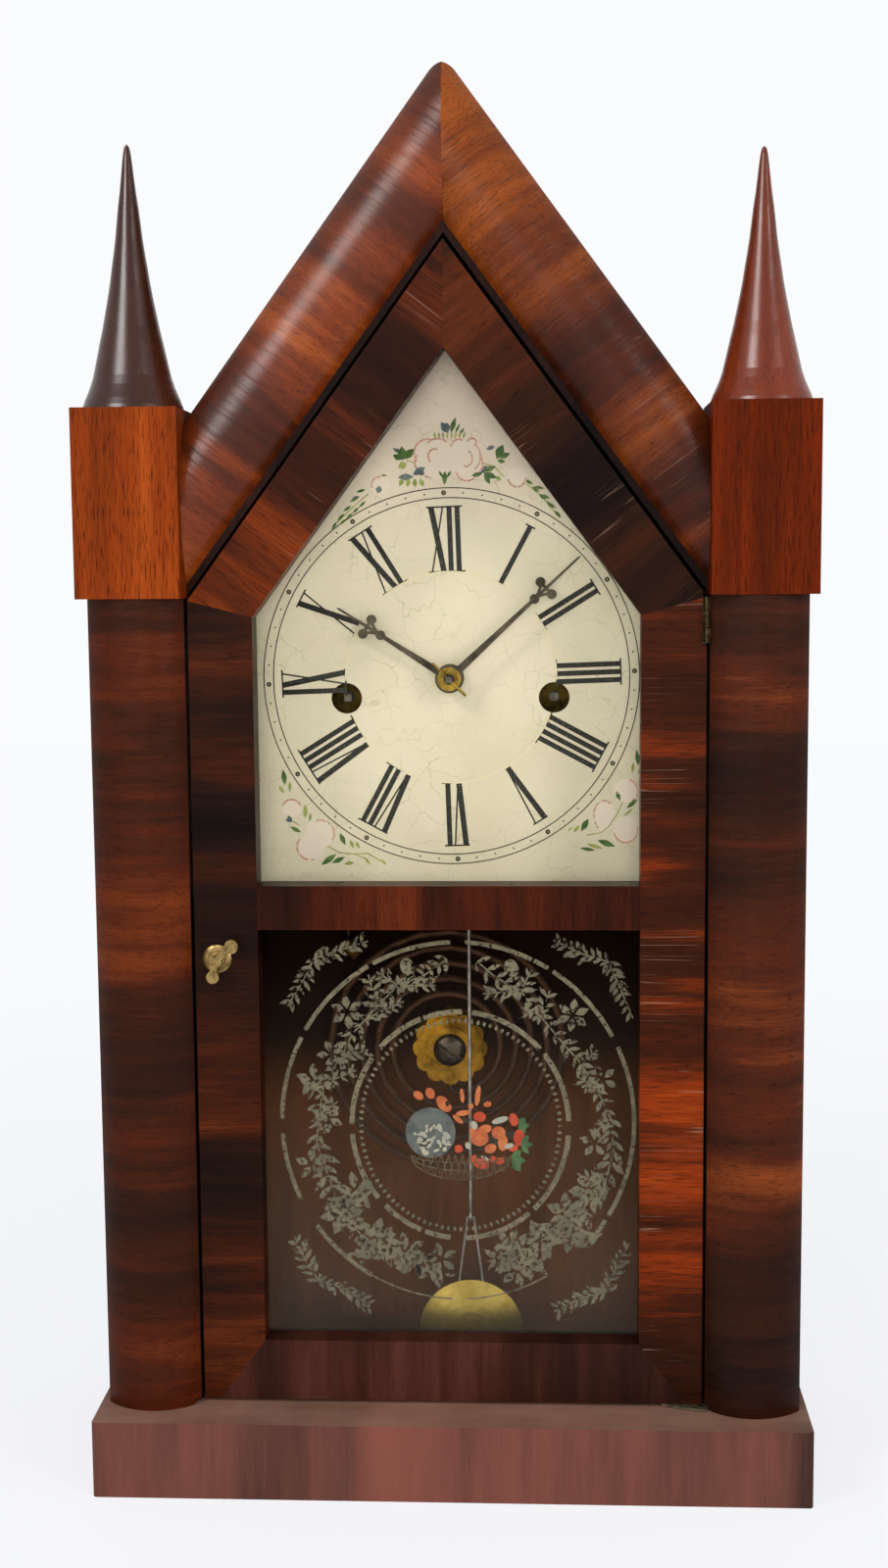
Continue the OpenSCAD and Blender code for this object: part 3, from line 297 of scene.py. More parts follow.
@dataclass(frozen=True)
class Veneer:
    """A varnished wood with dark bands across its length and fine pores along its fibres."""

    name: str
    fibre: Fibre
    dark: str
    mid: str
    light: str
    accent: str
    zone: float = 11.0
    band: float = 46.0
    shift: float = 0.0
    contrast: float = 2.5
    level: float = 0.5
    gloss: float = 0.36
    shine: float = 0.05
    coat: float = 0.0
    pores: float = 0.6
    cracks: float = 0.0
    dust: float = 0.0
    # Painted shade: the heights in metres between which it grows on faces towards the front, how dark it
    # gets, and its tone.
    painted_shade_heights: Pair = (0.112, 0.152)
    painted_shade: float = 0.0
    crack_tone: str = "8c6a56"
    dust_tone: str = "a37e6a"
    painted_shade_tone: str = "030201"

    def _axes(self) -> tuple[Triple, ...]:
        """Gives the directions along the fibres, through the thickness and across the fibres."""
        along = Vector(self.fibre.value)
        return tuple(along), DEPTH, tuple(along.cross(Vector(DEPTH)))

    def _grain(self, s: Shader, scales: Triple, layer: float, detail: float = 3.0, rough: float = 0.55,
               distortion: float = 0.0) -> Socket:
        """Reads a noise along the fibres.

        Args:
            s: The material's tree.
            scales: How fine it is along the fibres, through the thickness and across.
            layer: An offset that keeps it apart from the other layers of the same wood.
            detail: How many finer noises it holds.
            rough: How strong these are.
            distortion: How much it is bent.

        Returns:
            The factor, about 0 to 1.
        """
        return s.noise(s.place(self._axes(), scales, self.shift + layer), detail, rough, distortion)

    def _figure(self, s: Shader) -> Socket:
        """Mixes broad zones, bands, streaks and fine lines.

        Args:
            s: The material's tree.

        Returns:
            One value from 0 to 1.
        """
        zones = ((2.5, 4, self.zone), 1, 0.5, 0.42)
        bands = ((6, 8, self.band), 3, 0.55, 0.36)
        streaks = ((14, 30, self.band * 5), 3, 0.6, 0.14)
        lines = ((60, 300, 2400), 2, 0.6, 0.08)
        total: object = 0.0
        for number, (scales, detail, rough, weight) in enumerate((zones, bands, streaks, lines)):
            part = self._grain(s, scales, 3.7 * number, detail, rough, distortion=0.25)
            total = s.plus(s.times(part, weight), total)
        return s.plus(s.times(s.minus(total, 0.5), self.contrast), self.level, clamp=True)

    def _cracks(self, s: Shader) -> Socket:
        """Draws thin broken lines along the fibres.

        Args:
            s: The material's tree.

        Returns:
            The lines as a factor.
        """
        line = self._grain(s, (7, 20, 330), 17, detail=1, rough=0.4)
        near = s.times(s.maths("ABSOLUTE", s.minus(line, 0.5), 0.0), 90)
        patch = self._grain(s, (45, 30, 50), 23, detail=2, rough=0.5)
        sharp = s.minus(1.0, near, clamp=True)
        return s.times(s.times(sharp, s.above(patch, start=0.54, gain=9)), self.cracks)

    def _dust(self, s: Shader) -> Socket:
        """Gives patchy dust where the wood faces upwards, as a factor."""
        patchy = s.times(self._grain(s, (24, 60, 24), 47), 2.4 * self.dust)
        return s.times(s.minus(s.normal("Z"), 0.5, clamp=True), patchy)

    def _painted_shade(self, s: Shader) -> Socket:
        """Gives painted shade that grows upwards where the wood faces the front, standing in for the shadow
        under the dial inside the case, as a factor.
        """
        return s.times(s.height_fade(self.painted_shade_heights, (0.0, self.painted_shade)), s.times(s.normal("Y"), -2.0, clamp=True))

    def material(self) -> bpy.types.Material:
        """Builds the finish.

        Returns:
            The material.
        """
        s = Shader(self.name)
        tones = {0.18: self.dark, 0.42: self.mid, 0.6: self.light, 0.84: self.accent}
        colour = s.ramp(self._figure(s), tones)
        pore = self._grain(s, (150, 900, 3400), 11, detail=2, rough=0.5)
        colour = s.blend(s.times(s.above(pore, start=0.56, gain=12), self.pores), colour, self.dark)
        if self.cracks:
            colour = s.blend(self._cracks(s), colour, self.crack_tone)
        if self.dust:
            colour = s.blend(self._dust(s), colour, self.dust_tone)
        # Painted shade darkens the front face of the inner boards towards the top, for the shadow under the
        # dial.
        if self.painted_shade:
            colour = s.blend(self._painted_shade(s), colour, self.painted_shade_tone)
        smear = self._grain(s, (60, 60, 60), 31)
        pits = s.node("Bump", Strength=0.1, Distance=0.0002, Height=pore)
        shader = s.node("BsdfPrincipled", Base_Color=colour, Normal=pits.outputs[0],
                        Roughness=s.plus(s.times(smear, 0.16), self.gloss - 0.08),
                        Specular_IOR_Level=self.shine, Coat_Weight=self.coat, Coat_Roughness=self.gloss)
        if self.coat:
            wave = self._grain(s, (30, 60, 330), 41, detail=2, rough=0.5)
            ripple = s.node("Bump", Strength=0.6, Distance=0.0008, Height=wave)
            s.feed(shader.inputs["Coat Normal"], ripple.outputs[0])
        return s.finished(shader)


@dataclass(frozen=True)
class Metal:
    """A worn metal whose tarnish is uneven."""

    name: str
    bright: str
    dull: str
    roughness: float
    metallic: float = 1.0
    patch: float = 160.0

    def material(self) -> bpy.types.Material:
        """Builds the finish.

        Returns:
            The material.
        """
        s = Shader(self.name)
        spots = s.cloud(self.patch, detail=4, rough=0.6)
        rough = s.plus(s.times(spots, -0.25), self.roughness + 0.14)
        return s.finished(s.node("BsdfPrincipled", Metallic=self.metallic, Roughness=rough,
                                 Base_Color=s.ramp(spots, {0.35: self.dull, 0.62: self.bright})))


@dataclass(frozen=True)
class WornPaint:
    """Paint on glass or on the dial, worn away in specks."""

    name: str
    colour: str
    second: str
    wear: float
    grain: float
    roughness: float = 0.6

    def material(self) -> bpy.types.Material:
        """Builds the finish.

        Returns:
            The material.
        """
        s = Shader(self.name)
        tint = s.cloud(self.grain * 0.3, shift=5.0)
        specks = s.cloud(self.grain, rough=0.6)
        paint = s.node("BsdfPrincipled", Roughness=self.roughness,
                       Base_Color=s.ramp(tint, {0.4: self.colour, 0.6: self.second}))
        shown = s.above(specks, start=self.wear, gain=14)
        return s.finished(s.mixed(shown, s.node("BsdfTransparent"), paint))


@dataclass(frozen=True)
class WindowGlass:
    """Thin old glass: clear, with a faint reflection, and grimy towards its lower edge."""

    name: str
    tint: str
    reflection: float
    grime: float = 0.0
    reach: Pair = (1.0, 0.0)

    def material(self) -> bpy.types.Material:
        """Builds the finish.

        Returns:
            The material.
        """
        s = Shader(self.name)
        edge_on = s.times(s.node("LayerWeight", Blend=0.12).outputs["Fresnel"], self.reflection)
        clear = s.node("BsdfTransparent", Color=self.tint)
        pane = s.mixed(edge_on, clear, s.node("BsdfGlossy", Roughness=0.05))
        if self.grime:
            clouds = s.plus(s.cloud(26, shift=2.0, detail=4, rough=0.6), 0.5)
            film = s.times(s.height_fade(self.reach, (0.0, self.grime)), clouds, clamp=True)
            pane = s.mixed(film, pane, s.node("BsdfDiffuse", Color="8a857c"))
        return s.finished(pane)


@dataclass(frozen=True)
class DialPaint:
    """Cream paint on the dial sheet, crazed, pinker towards the gable and lighter there as painted light."""

    name: str
    cream: str
    stain: str
    apex_tint_and_light: str
    reach: Pair

    def material(self) -> bpy.types.Material:
        """Builds the finish.

        Returns:
            The material.
        """
        s = Shader(self.name)
        colour = s.ramp(s.cloud(28, detail=5, rough=0.6), {0.35: self.stain, 0.55: self.cream})
        # Towards the gable the cream turns pinker and lighter; the lightness is painted light on the top of
        # the dial.
        colour = s.blend(s.times(s.height_fade(self.reach, soft=False), 0.75), colour, self.apex_tint_and_light)
        wobble = s.node("TexNoise", Vector=s.point(), Scale=90.0)
        bent = s.node("VectorMath", operation="ADD", Vector=s.place(PLAIN_AXES, (75,) * 3, 0.0))
        s.feed(bent.inputs[1], wobble.outputs["Color"])
        cells = s.node("TexVoronoi", feature="DISTANCE_TO_EDGE", Vector=bent.outputs[0], Scale=1.0)
        line = s.minus(1.0, s.times(cells.outputs["Distance"], 60), clamp=True)
        faint = s.above(s.cloud(35, shift=9.0, detail=2), start=0.36, gain=2.4)
        colour = s.blend(s.times(line, faint), colour, "ab9f80")
        return s.finished(s.node("BsdfPrincipled", Base_Color=colour, Roughness=0.5))


def plain(name: str, colour: str) -> bpy.types.Material:
    """Builds a plain painted finish of one written colour and returns it."""
    s = Shader(name)
    return s.finished(s.node("BsdfPrincipled", Base_Color=colour, Roughness=0.6))


def dress(parts: Parts, names: tuple[str, ...], material: bpy.types.Material) -> None:
    """Gives named pieces of the frame a finish.

    Args:
        parts: The frame's pieces by name.
        names: The names to dress.
        material: Their finish.
    """
    for name in names:
        mesh = parts[name].data
        mesh.materials.clear()
        mesh.materials.append(material)


def soften(parts: Parts, names: tuple[str, ...], width: float) -> None:
    """Rounds the sharp edges of wooden pieces a little.

    Args:
        parts: The frame's pieces by name.
        names: The names to soften.
        width: Width of the rounding in metres.
    """
    for name in names:
        weld = parts[name].modifiers.new("joined corners", "WELD")
        weld.merge_threshold = 1e-5
        edge = parts[name].modifiers.new("worn edges", "BEVEL")
        edge.width = width
        edge.segments = 2
        edge.limit_method = "ANGLE"
        edge.angle_limit = math.radians(40)
        edge.harden_normals = False


class Painter:
    """Collects flat painted shapes that lie on one upright plane and makes one piece of them."""

    STEP = 0.0015
    LAYERS = 24
    OVERLAP = 0.04
    LEAF_TIP = 0.95
    LEAF_SHOULDER = 0.62

    def __init__(self, origin: Pair, depth: float, turn: float = 0.0, thick: float = 0.05) -> None:
        """Sets the plane.

        Args:
            origin: The pattern's centre in millimetres, across and up.
            depth: Where the paint's front lies, in millimetres.
            turn: How far the pattern is turned counter-clockwise, in degrees.
            thick: Thickness of the paint in millimetres.
        """
        self.origin, self.depth, self.thick = origin, depth, thick
        self.turn = math.radians(turn)
        self.mesh = bmesh.new()
        self.count = 0

    def _matrix(self, x: float, z: float, angle: float, sx: float, sz: float) -> Matrix:
        """Gives the place of a unit shape, a hair in front of the one before it.

        Args:
            x: Its centre across, in millimetres.
            z: Its centre up.
            angle: Its turn in degrees.
            sx: Its scale along its length.
            sz: Its scale across its length.

        Returns:
            The matrix, in metres.
        """
        c, s = math.cos(self.turn), math.sin(self.turn)
        lift = self.STEP * (self.count % self.LAYERS)
        self.count += 1
        at = (self.origin[0] + c * x - s * z, self.depth + self.thick / 2 - lift,
              self.origin[1] + s * x + c * z)
        place = Matrix.Translation(Vector(at) * MM)
        turned = Matrix.Rotation(-(math.radians(angle) + self.turn), 4, "Y")
        return place @ turned @ Matrix.Diagonal((sx * MM, self.thick * MM, sz * MM, 1.0))

    def spot(self, x: float, z: float, rx: float, rz: float, angle: float = 0.0, sides: int = 12) -> None:
        """Paints an oval spot.

        Args:
            x: Its middle across.
            z: Its middle up.
            rx: Its half size along its length.
            rz: Its half size across its length.
            angle: How far it is turned, in degrees.
            sides: How many sides its outline has.
        """
        lay = Matrix.Rotation(math.pi / 2, 4, "X")
        bmesh.ops.create_cone(self.mesh, cap_ends=True, segments=sides, radius1=1.0, radius2=1.0, depth=1.0,
                              matrix=self._matrix(x, z, angle, rx, rz) @ lay)

    def leaf(self, x: float, z: float, length: float, width: float, angle: float) -> None:
        """Paints a pointed leaf.

        Args:
            x: Where it starts, across.
            z: Where it starts, up.
            length: Its length.
            width: Its width.
            angle: The direction it grows in, in degrees.
        """
        a = math.radians(angle)
        mid = (x + math.cos(a) * length / 2, z + math.sin(a) * length / 2)
        lay = Matrix.Rotation(math.pi / 2, 4, "X")
        made = bmesh.ops.create_cone(self.mesh, cap_ends=True, segments=8, radius1=1.0, radius2=1.0,
                                     depth=1.0, matrix=lay)["verts"]
        for vert in made:
            if abs(vert.co.x) < self.LEAF_TIP:
                vert.co.x *= self.LEAF_SHOULDER
        bmesh.ops.transform(self.mesh, verts=made,
                            matrix=self._matrix(mid[0], mid[1], angle, length / 2, width / 2))

    def stroke(self, a: Pair, b: Pair, width: float) -> None:
        """Paints a straight stroke.

        Args:
            a: Where it starts.
            b: Where it ends.
            width: Its width.
        """
        dx, dz = b[0] - a[0], b[1] - a[1]
        place = self._matrix((a[0] + b[0]) / 2, (a[1] + b[1]) / 2, math.degrees(math.atan2(dz, dx)),
                             math.hypot(dx, dz), width)
        bmesh.ops.create_cube(self.mesh, size=1.0, matrix=place)

    def arc(self, centre: Pair, radii: Pair, width: float, start: float, end: float, steps: int) -> None:
        """Paints an arc of an oval in short strokes that meet.

        Args:
            centre: The oval's middle.
            radii: Its half sizes across and up.
            width: Width of the line.
            start: Where the arc starts, in degrees from the right, counter-clockwise.
            end: Where it ends.
            steps: How many strokes it has.
        """
        step = (end - start) / steps
        for k in range(steps):
            angles = (math.radians(start + step * (k + e)) for e in (-self.OVERLAP, 1 + self.OVERLAP))
            self.stroke(*((centre[0] + radii[0] * math.cos(a), centre[1] + radii[1] * math.sin(a))
                          for a in angles), width)

    def path(self, points: list[Pair], width: float) -> None:
        """Paints straight strokes through points, such as a stem."""
        for a, b in zip(points, points[1:]):
            self.stroke(a, b, width)

    def done(self, name: str, material: bpy.types.Material, body: str) -> bpy.types.Object:
        """Makes the piece.

        Args:
            name: The piece's name.
            material: Its finish.
            body: The body that carries it.

        Returns:
            The new object.
        """
        bmesh.ops.recalc_face_normals(self.mesh, faces=self.mesh.faces[:])
        data = bpy.data.meshes.new(name)
        self.mesh.to_mesh(data)
        self.mesh.free()
        data.materials.append(material)
        made = bpy.data.objects.new(name, data)
        bpy.context.scene.collection.objects.link(made)
        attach(made, body)
        log.info("%s: %d faces", name, len(data.polygons))
        return made


@dataclass
class Woodwork:
    """The case and the door frame in their veneers."""

    parts: Parts
    corner: float = 0.0007

    def _veneer(self, name: str, fibre: Fibre, shift: float, tones: str, **more: object) -> None:
        """Dresses one piece in a dark veneer of its own.

        Args:
            name: The piece.
            fibre: Direction of its fibres.
            shift: Where the sheet was cut.
            tones: Its dark, middle, light and accent colours.
            more: What differs from the usual sheet.
        """
        finish = Veneer(name.replace("_", " ") + " veneer", fibre, *tones.split(), shift=shift, **more)
        dress(self.parts, (name,), finish.material())

    def dress_columns(self) -> None:
        """Dresses the columns and the two halves of the gable moulding."""
        column = dict(level=0.42, shine=0.04, coat=0.07)
        moulding = dict(zone=16.0, gloss=0.34, shine=0.06)
        self._veneer("column_left", Fibre.LEVEL, 1.0, "170904 2e1206 481a07 6e300e", **column)
        self._veneer("column_right", Fibre.LEVEL, 4.0, "150804 2e1307 481c0a 783814", **column)
        self._veneer("gable_moulding_left", Fibre.LEFT_GABLE, 22.0, "261006 481b08 6c2c0b 964a14",
                     contrast=2.7, level=0.45, coat=0.3, **moulding)
        self._veneer("gable_moulding_right", Fibre.RIGHT_GABLE, 27.0, "1c0b05 3e1708 5c270b 844112",
                     contrast=3.0, level=0.52, coat=0.16, cracks=0.3, **moulding)

    def dress_door(self) -> None:
        """Dresses the six pieces of the door frame and the beads behind its glass."""
        rail = dict(zone=18.0, cracks=0.3)
        self._veneer("door_stile_left", Fibre.LEVEL, 8.0, "0c0503 1e0d06 3a1607 70320f", zone=9.0, level=0.42)
        self._veneer("door_stile_right", Fibre.LEVEL, 61.3, "150904 381506 782a08 ac4e0e",
                     zone=12.0, cracks=0.7, level=0.46)
        self._veneer("door_rail_left", Fibre.LEFT_GABLE, 87.4, "120704 2e1106 541f06 763008",
                     level=0.44, **rail)
        self._veneer("door_rail_right", Fibre.RIGHT_GABLE, 19.0, "100604 241006 381606 54240c",
                     level=0.42, **rail)
        self._veneer("door_crossbar", Fibre.UPRIGHT, 30.0, "120603 260d05 401606 60260e",
                     gloss=0.3, level=0.44)
        self._veneer("door_bottom_rail", Fibre.UPRIGHT, 33.0, "160b07 28130d 361a12 4a2820",
                     contrast=3.0, gloss=0.45, pores=0.3)
        self._veneer("glazing_beads", Fibre.LEVEL, 66.0, "120806 1e0e09 2a130c 34180f")

    def dress_blocks(self) -> None:
        """Dresses the square blocks and the steeples."""
        block = dict(band=130.0, pores=0.85, gloss=0.5, shine=0.03, contrast=1.7, zone=20.0)
        steeple = dict(contrast=1.6, gloss=0.27, shine=0.3)
        self._veneer("block_left", Fibre.UPRIGHT, 41.0, "340f04 602406 7c310a 984414", **block)
        self._veneer("block_right", Fibre.UPRIGHT, 45.0, "2a0c03 4c1804 682006 842e0a", **block)
        self._veneer("steeple_left", Fibre.UPRIGHT, 50.0, "1c0a04 321408 48200e 683016", **steeple)
        self._veneer("steeple_right", Fibre.UPRIGHT, 54.0, "300f05 5a2009 762c0e 92401a", **steeple)

    def dress_carcase(self) -> None:
        """Dresses the base, the case behind the columns and the bare boards inside."""
        # The base front's greyed pink tones carry a painted reflection, a milky haze over its dark veneer.
        self._veneer("base_front_rail", Fibre.UPRIGHT, 37.0, "3a2621 5a382f 6c4036 78463a",
                     contrast=2.4, gloss=0.6, band=40.0, zone=26.0, pores=0.12, dust=0.7)
        self._veneer("base_rails", Fibre.UPRIGHT, 62.0, "301c15 50301f 643722 764230",
                     contrast=1.8, gloss=0.55, band=60.0, dust=0.5)
        outside = dict(band=90.0, gloss=0.5, contrast=1.5)
        # The inner boards are given painted shade: their front faces darken towards the top, as in the shadow
        # under the dial and movement.
        inside = dict(band=70.0, gloss=0.7, shine=0.1, contrast=1.4, pores=0.3, painted_shade=0.93)
        for name, shift, tones, more in (
            ("case_sides", 60.0, "2a120a 4a2012 5f2c16 784023", outside),
            ("roof_boards", 61.0, "2a120a 4a2012 5f2c16 784023", outside),
            # Front stiles and gable boards get near-black tones: painted shade for the narrow black gaps
            # beside the door where they show.
            ("front_stiles", 64.0, "0c0504 180b07 24100a 30160d", {}),
            ("gable_boards", 65.0, "0c0504 180b07 24100a 30160d", {}),
            ("back_board", 70.0, "3e1e0c 623818 7a4a24 8e5a34", inside),
            ("case_floor", 72.0, "3e1e0c 623818 7a4a24 8e5a34", inside),
        ):
            self._veneer(name, Fibre.UPRIGHT, shift, tones, **more)
        self._veneer("mounting_blocks", Fibre.LEVEL, 74.0, "5d3d20 80603a 96744a a8865a",
                     gloss=0.7, contrast=1.3)

    def dress(self) -> None:
        """Dresses every wooden piece and rounds the worn corners."""
        self.dress_columns()
        self.dress_door()
        self.dress_blocks()
        self.dress_carcase()
        soften(self.parts, ("base_front_rail", "base_rails", "block_left", "block_right", "case_sides",
                            "roof_boards", "back_board"), self.corner)
        log.info("woodwork dressed")


@dataclass
class Metalwork:
    """Brass, steel and dark steel pieces."""

    parts: Parts
    brass: tuple[str, ...] = ("movement_plates", "movement_pillars", "hour_wheel", "motion_wheel",
                              "intermediate_wheel", "third_wheel", "escape_wheel", "time_great_wheel",
                              "strike_great_wheel", "pin_wheel", "warning_wheel", "fly", "hammer")
    steel: tuple[str, ...] = ("lower_pivot_pin", "fixing_screws", "mainsprings", "minute_arbor", "verge",
                              "time_winding_arbor", "strike_winding_arbor")

    def lay_pin(self) -> None:
        """Lays the taper pin across the minute hand, as it is photographed, in place of the node's own."""
        node = self.parts["hand_pin"]
        made = bpy.data.objects.new("washer_and_taper_pin", node.data.copy())
        bpy.context.scene.collection.objects.link(made)
        mesh = bmesh.new()
        mesh.from_mesh(made.data)
        bmesh.ops.remove_doubles(mesh, verts=mesh.verts, dist=1e-6)
        mirror = Matrix.Diagonal((-1.0, 1.0, 1.0, 1.0)) @ node.matrix_world
        bmesh.ops.transform(mesh, matrix=mirror, verts=mesh.verts)
        bmesh.ops.recalc_face_normals(mesh, faces=mesh.faces[:])
        mesh.to_mesh(made.data)
        mesh.free()
        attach(made, "minute_train")
        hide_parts("hand_pin")
        log.info("washer_and_taper_pin laid")

    def dress(self) -> None:
        """Gives each metal piece its finish."""
        for names, finish in (
            # The movement's brass is given dark tones: painted shade for its place deep in the case behind
            # the dial, over its tarnish.
            (self.brass, Metal("movement brass in painted shade", "6b5526", "2c2614", 0.45)),
            (self.steel, Metal("worked steel", "77706a", "3c3833", 0.42)),
            (("hand_pin",), Metal("bright brass", "c9a44c", "6e5a28", 0.32)),
            (("latch_rosette", "latch_thumb_piece"),
             Metal("handled brass", "a88d58", "5a482c", 0.36, patch=400.0)),
            (("pendulum_bob",), Metal("bob brass", "e4d274", "b3a24a", 0.34, patch=90.0)),
            (("gong_boss",), Metal("gong brass", "e0b23c", "8a6a1c", 0.5, patch=120.0)),
            (("hinge_fixed_half", "hinge_door_half"),
             Metal("dark hinge brass", "4a3c28", "201810", 0.55, patch=500.0)),
            (("lower_pivot_plate",), Metal("dull brass", "8e866e", "4e483a", 0.5, patch=500.0)),
            (("pendulum_rod",), Metal("rod steel", "dcdfe2", "9a9ea2", 0.5)),
            (("gong_coil",), Metal("coil steel", "5e3f2a", "3e291c", 0.55, metallic=0.4)),
            (("minute_hand", "hour_hand"), Metal("aged hands", "62584c", "302b25", 0.38, metallic=0.8)),
        ):
            dress(self.parts, names, finish.material())
        self.lay_pin()
        log.info("metalwork dressed")


@dataclass
class Dial:
    """The painted dial: chapter ring, numerals and roses in the three corners."""

    parts: Parts
    centre: Pair = (0.3, 295.9)
    flower_centre: Pair = (0.5, 295.8)
    front: float = -4.0
    turn: float = 1.8
    ring_out: float = 69.8
    ring_in: float = 66.2
    ring_line: float = 0.4
    ring_steps: int = 144
    dot_radius: float = 68.0
    hour_dot: float = 0.95
    minute_dot: float = 0.34
    dot_centre: float = 0.26
    numeral_low: float = 39.2
    numeral_high: float = 62.9
    swell: float = 39.2
    hole_drop: float = 7.2
    hole_reach: float = 6.4
    thick: float = 1.9
    hairline: float = 0.6
    serif: float = 2.3
    petal_inset: float = 0.3
    petal_line: float = 0.66
    apex_tint_and_light_low: float = 340.9
    apex_tint_and_light_high: float = 400.0
    numerals: tuple[str, ...] = ("XII", "I", "II", "III", "IIII", "V", "VI", "VII", "VIII", "IX", "X", "XI")
    widths: dict[str, float] = field(default_factory=lambda: {"I": 2.95, "V": 5.4, "X": 6.4})

    def _painter(self, coat: Coat, thick: float = 0.05) -> Painter:
        """Starts a coat of paint that is turned as the sheet is."""
        return Painter(self.centre, self.front - coat.value, self.turn, thick)

    def _brush(self, coat: Coat, thick: float = 0.05) -> Painter:
        """Starts a coat of paint for the flowers, which stand upright."""
        return Painter(self.flower_centre, self.front - coat.value, 0.0, thick)

    def _numeral(self, ink: Painter, text: str, hour: int) -> None:
        """Paints one radial numeral with a hairline at its foot and head.

        Args:
            ink: The painter that takes the strokes.
            text: The letters.
            hour: Its hour on the dial.
        """
        low, high = self.numeral_low, self.numeral_high
        a = math.radians(90 - 30 * hour)
        up, side = (math.cos(a), math.sin(a)), (math.sin(a), -math.cos(a))

        def bar(x0: float, r0: float, x1: float, r1: float, width: float) -> None:
            """Paints a stroke between two places given across and out on the numeral."""
            ink.stroke(*((side[0] * x + up[0] * r, side[1] * x + up[1] * r) for x, r in ((x0, r0), (x1, r1))),
                       width)

        heavy = self.thick + 0.2
        total = sum(self.widths[c] for c in text)
        x = -total / 2
        feet: list[float] = []
        for letter in text:
            mid = x + self.widths[letter] / 2
            if letter == "I":
                bar(mid, low, mid, high, self.thick)
                feet += [mid - self.serif, mid + self.serif]
            elif letter == "V":
                bar(mid, low + 0.4, mid - 1.9, high, heavy)
                bar(mid + 0.5, low + 1.5, mid + 2.2, high, self.hairline)
            else:
                bar(mid + 2.0, low, mid - 2.0, high, heavy)
                bar(mid - 2.3, low, mid + 2.3, high, self.hairline)
                feet += [mid - 3.6, mid + 3.4]
            x += self.widths[letter]
        bar(-total / 2 - 0.5, high, total / 2 + 0.5, high, self.hairline)
        if feet:
            bar(min(feet), low, max(feet), low, self.hairline)

    def paint_ring(self) -> None:
        """Paints the minute ring, its dots and the numerals."""
        ink, light = self._painter(Coat.INK), self._painter(Coat.DOTS)
        for radius in (self.ring_out, self.ring_in):
            ink.arc((0, 0), (radius, radius), self.ring_line, 0, 360, self.ring_steps)
        for k in range(60):
            a = math.radians(6 * k)
            at = (self.dot_radius * math.cos(a), self.dot_radius * math.sin(a))
            on_hour = k % 5 == 0
            size = self.hour_dot if on_hour else self.minute_dot
            ink.spot(*at, size, size, sides=10)
            if on_hour:
                light.spot(*at, self.dot_centre, self.dot_centre, sides=8)
        ink.done("minute_ring", WornPaint("ring ink", "26241c", "3a3628", 0.26, 1500).material(), "case")
        light.done("dot_centres", plain("dot centre", "a89d78"), "case")
        ink = self._painter(Coat.INK)
        for hour, text in enumerate(self.numerals):
            self._numeral(ink, text, hour)
        ink.done("numerals", WornPaint("numeral ink", "0c0b08", "1a1812", 0.33, 2200).material(), "case")
        self._paint_swell_highlight()

    def _paint_swell_highlight(self) -> None:
        """Paints a pale line along the raised ring inside the numerals, a painted highlight of its ridge,
        broken at the two winding holes.
        """
        swell = self._painter(Coat.SWELL, 0.1)
        hole = math.degrees(2 * math.asin(self.hole_reach / 2 / self.swell))
        drop = math.degrees(math.asin(self.hole_drop / self.swell)) + self.turn
        far = 180 + drop - 2 * self.turn
        for start, end in ((hole - drop, far - hole), (far + hole, 360 - drop - hole)):
            swell.arc((0, 0), (self.swell, self.swell), 0.5, start, end, 50)
        swell.done("dial_swell_highlight", plain("swell highlight cream", "dccfae"), "case")

    def _rose_group(self, fill: Painter, line: Painter, petals: list[tuple[float, ...]]) -> None:
        """Paints pale petals and a pink line along the outer part of each.

        Args:
            fill: Painter of the petals.
            line: Painter of the lines.
            petals: Centre across and up, half sizes, and the start and end of the line in degrees.
        """
        for x, z, rx, rz, start, end in petals:
            fill.spot(x, z, rx, rz, sides=16)
            if end > start:
                inset = self.petal_inset
                line.arc((x, z), (rx - inset, rz - inset), self.petal_line, start, end, steps=8)

    def paint_flowers(self) -> None:
        """Paints the roses and leaves in the gable and in the two lower corners."""
        green, dark, slate = (self._brush(Coat.LEAVES) for _ in range(3))
        fill, line = self._brush(Coat.PETALS, 0.03), self._brush(Coat.OUTLINES, 0.04)
        self._rose_group(fill, line, [
            (-1.0, 80.5, 6.6, 5.0, 0, 0), (-8.0, 82.5, 5.4, 5.4, 70, 215), (-6.0, 76.6, 4.6, 3.6, 170, 260),
            (-4.4, 85.2, 4.2, 2.8, 30, 160), (-9.6, 79.2, 3.6, 3.8, 130, 250), (3.4, 84.8, 3.2, 2.8, 60, 180),
            (9.4, 78.6, 3.0, 4.0, -80, 40), (7.0, 81.0, 4.6, 5.4, -60, 60), (-5.6, 81.4, 2.6, 3.0, 60, 230),
            (6.2, 80.4, 2.4, 3.2, -120, 70), (8.2, 86.2, 2.0, 1.8, -30, 170), (6.2, 75.6, 4.0, 3.6, 185, 340),
            (24.6, 73.4, 3.6, 3.8, 190, 360), (-25.6, 71.2, 3.6, 3.2, 90, 200),
            (-60.4, -48.6, 3.8, 3.6, 20, 165), (-49.8, -58.2, 5.6, 5.4, -30, 115),
            (-53.6, -63.4, 5.4, 5.2, 140, 285), (64.8, -42.4, 4.6, 4.6, -60, 75),
            (56.6, -51.6, 4.2, 6.0, 50, 235), (64.6, -57.0, 4.8, 5.2, 195, 380),
        ])
        stems = [[(11.5, 79), (16, 77.4), (20, 73.6)], [(-16, 80), (-12.6, 79)],
                 [(28, 71), (34, 66), (40, 58.6)], [(-30, 68), (-36, 63), (-42, 57.4)],
                 [(-47, -63), (-43, -65.4), (-37, -66), (-33, -67.8)],
                 [(-40, -66), (-32, -65.8), (-26.6, -69)], [(-60, -53.5), (-57.6, -55.2)],
                 [(63.5, -46.5), (61.4, -51), (58.6, -55.4), (55.6, -58), (50, -59)]]
        for points in stems:
            green.path(points, 0.4)
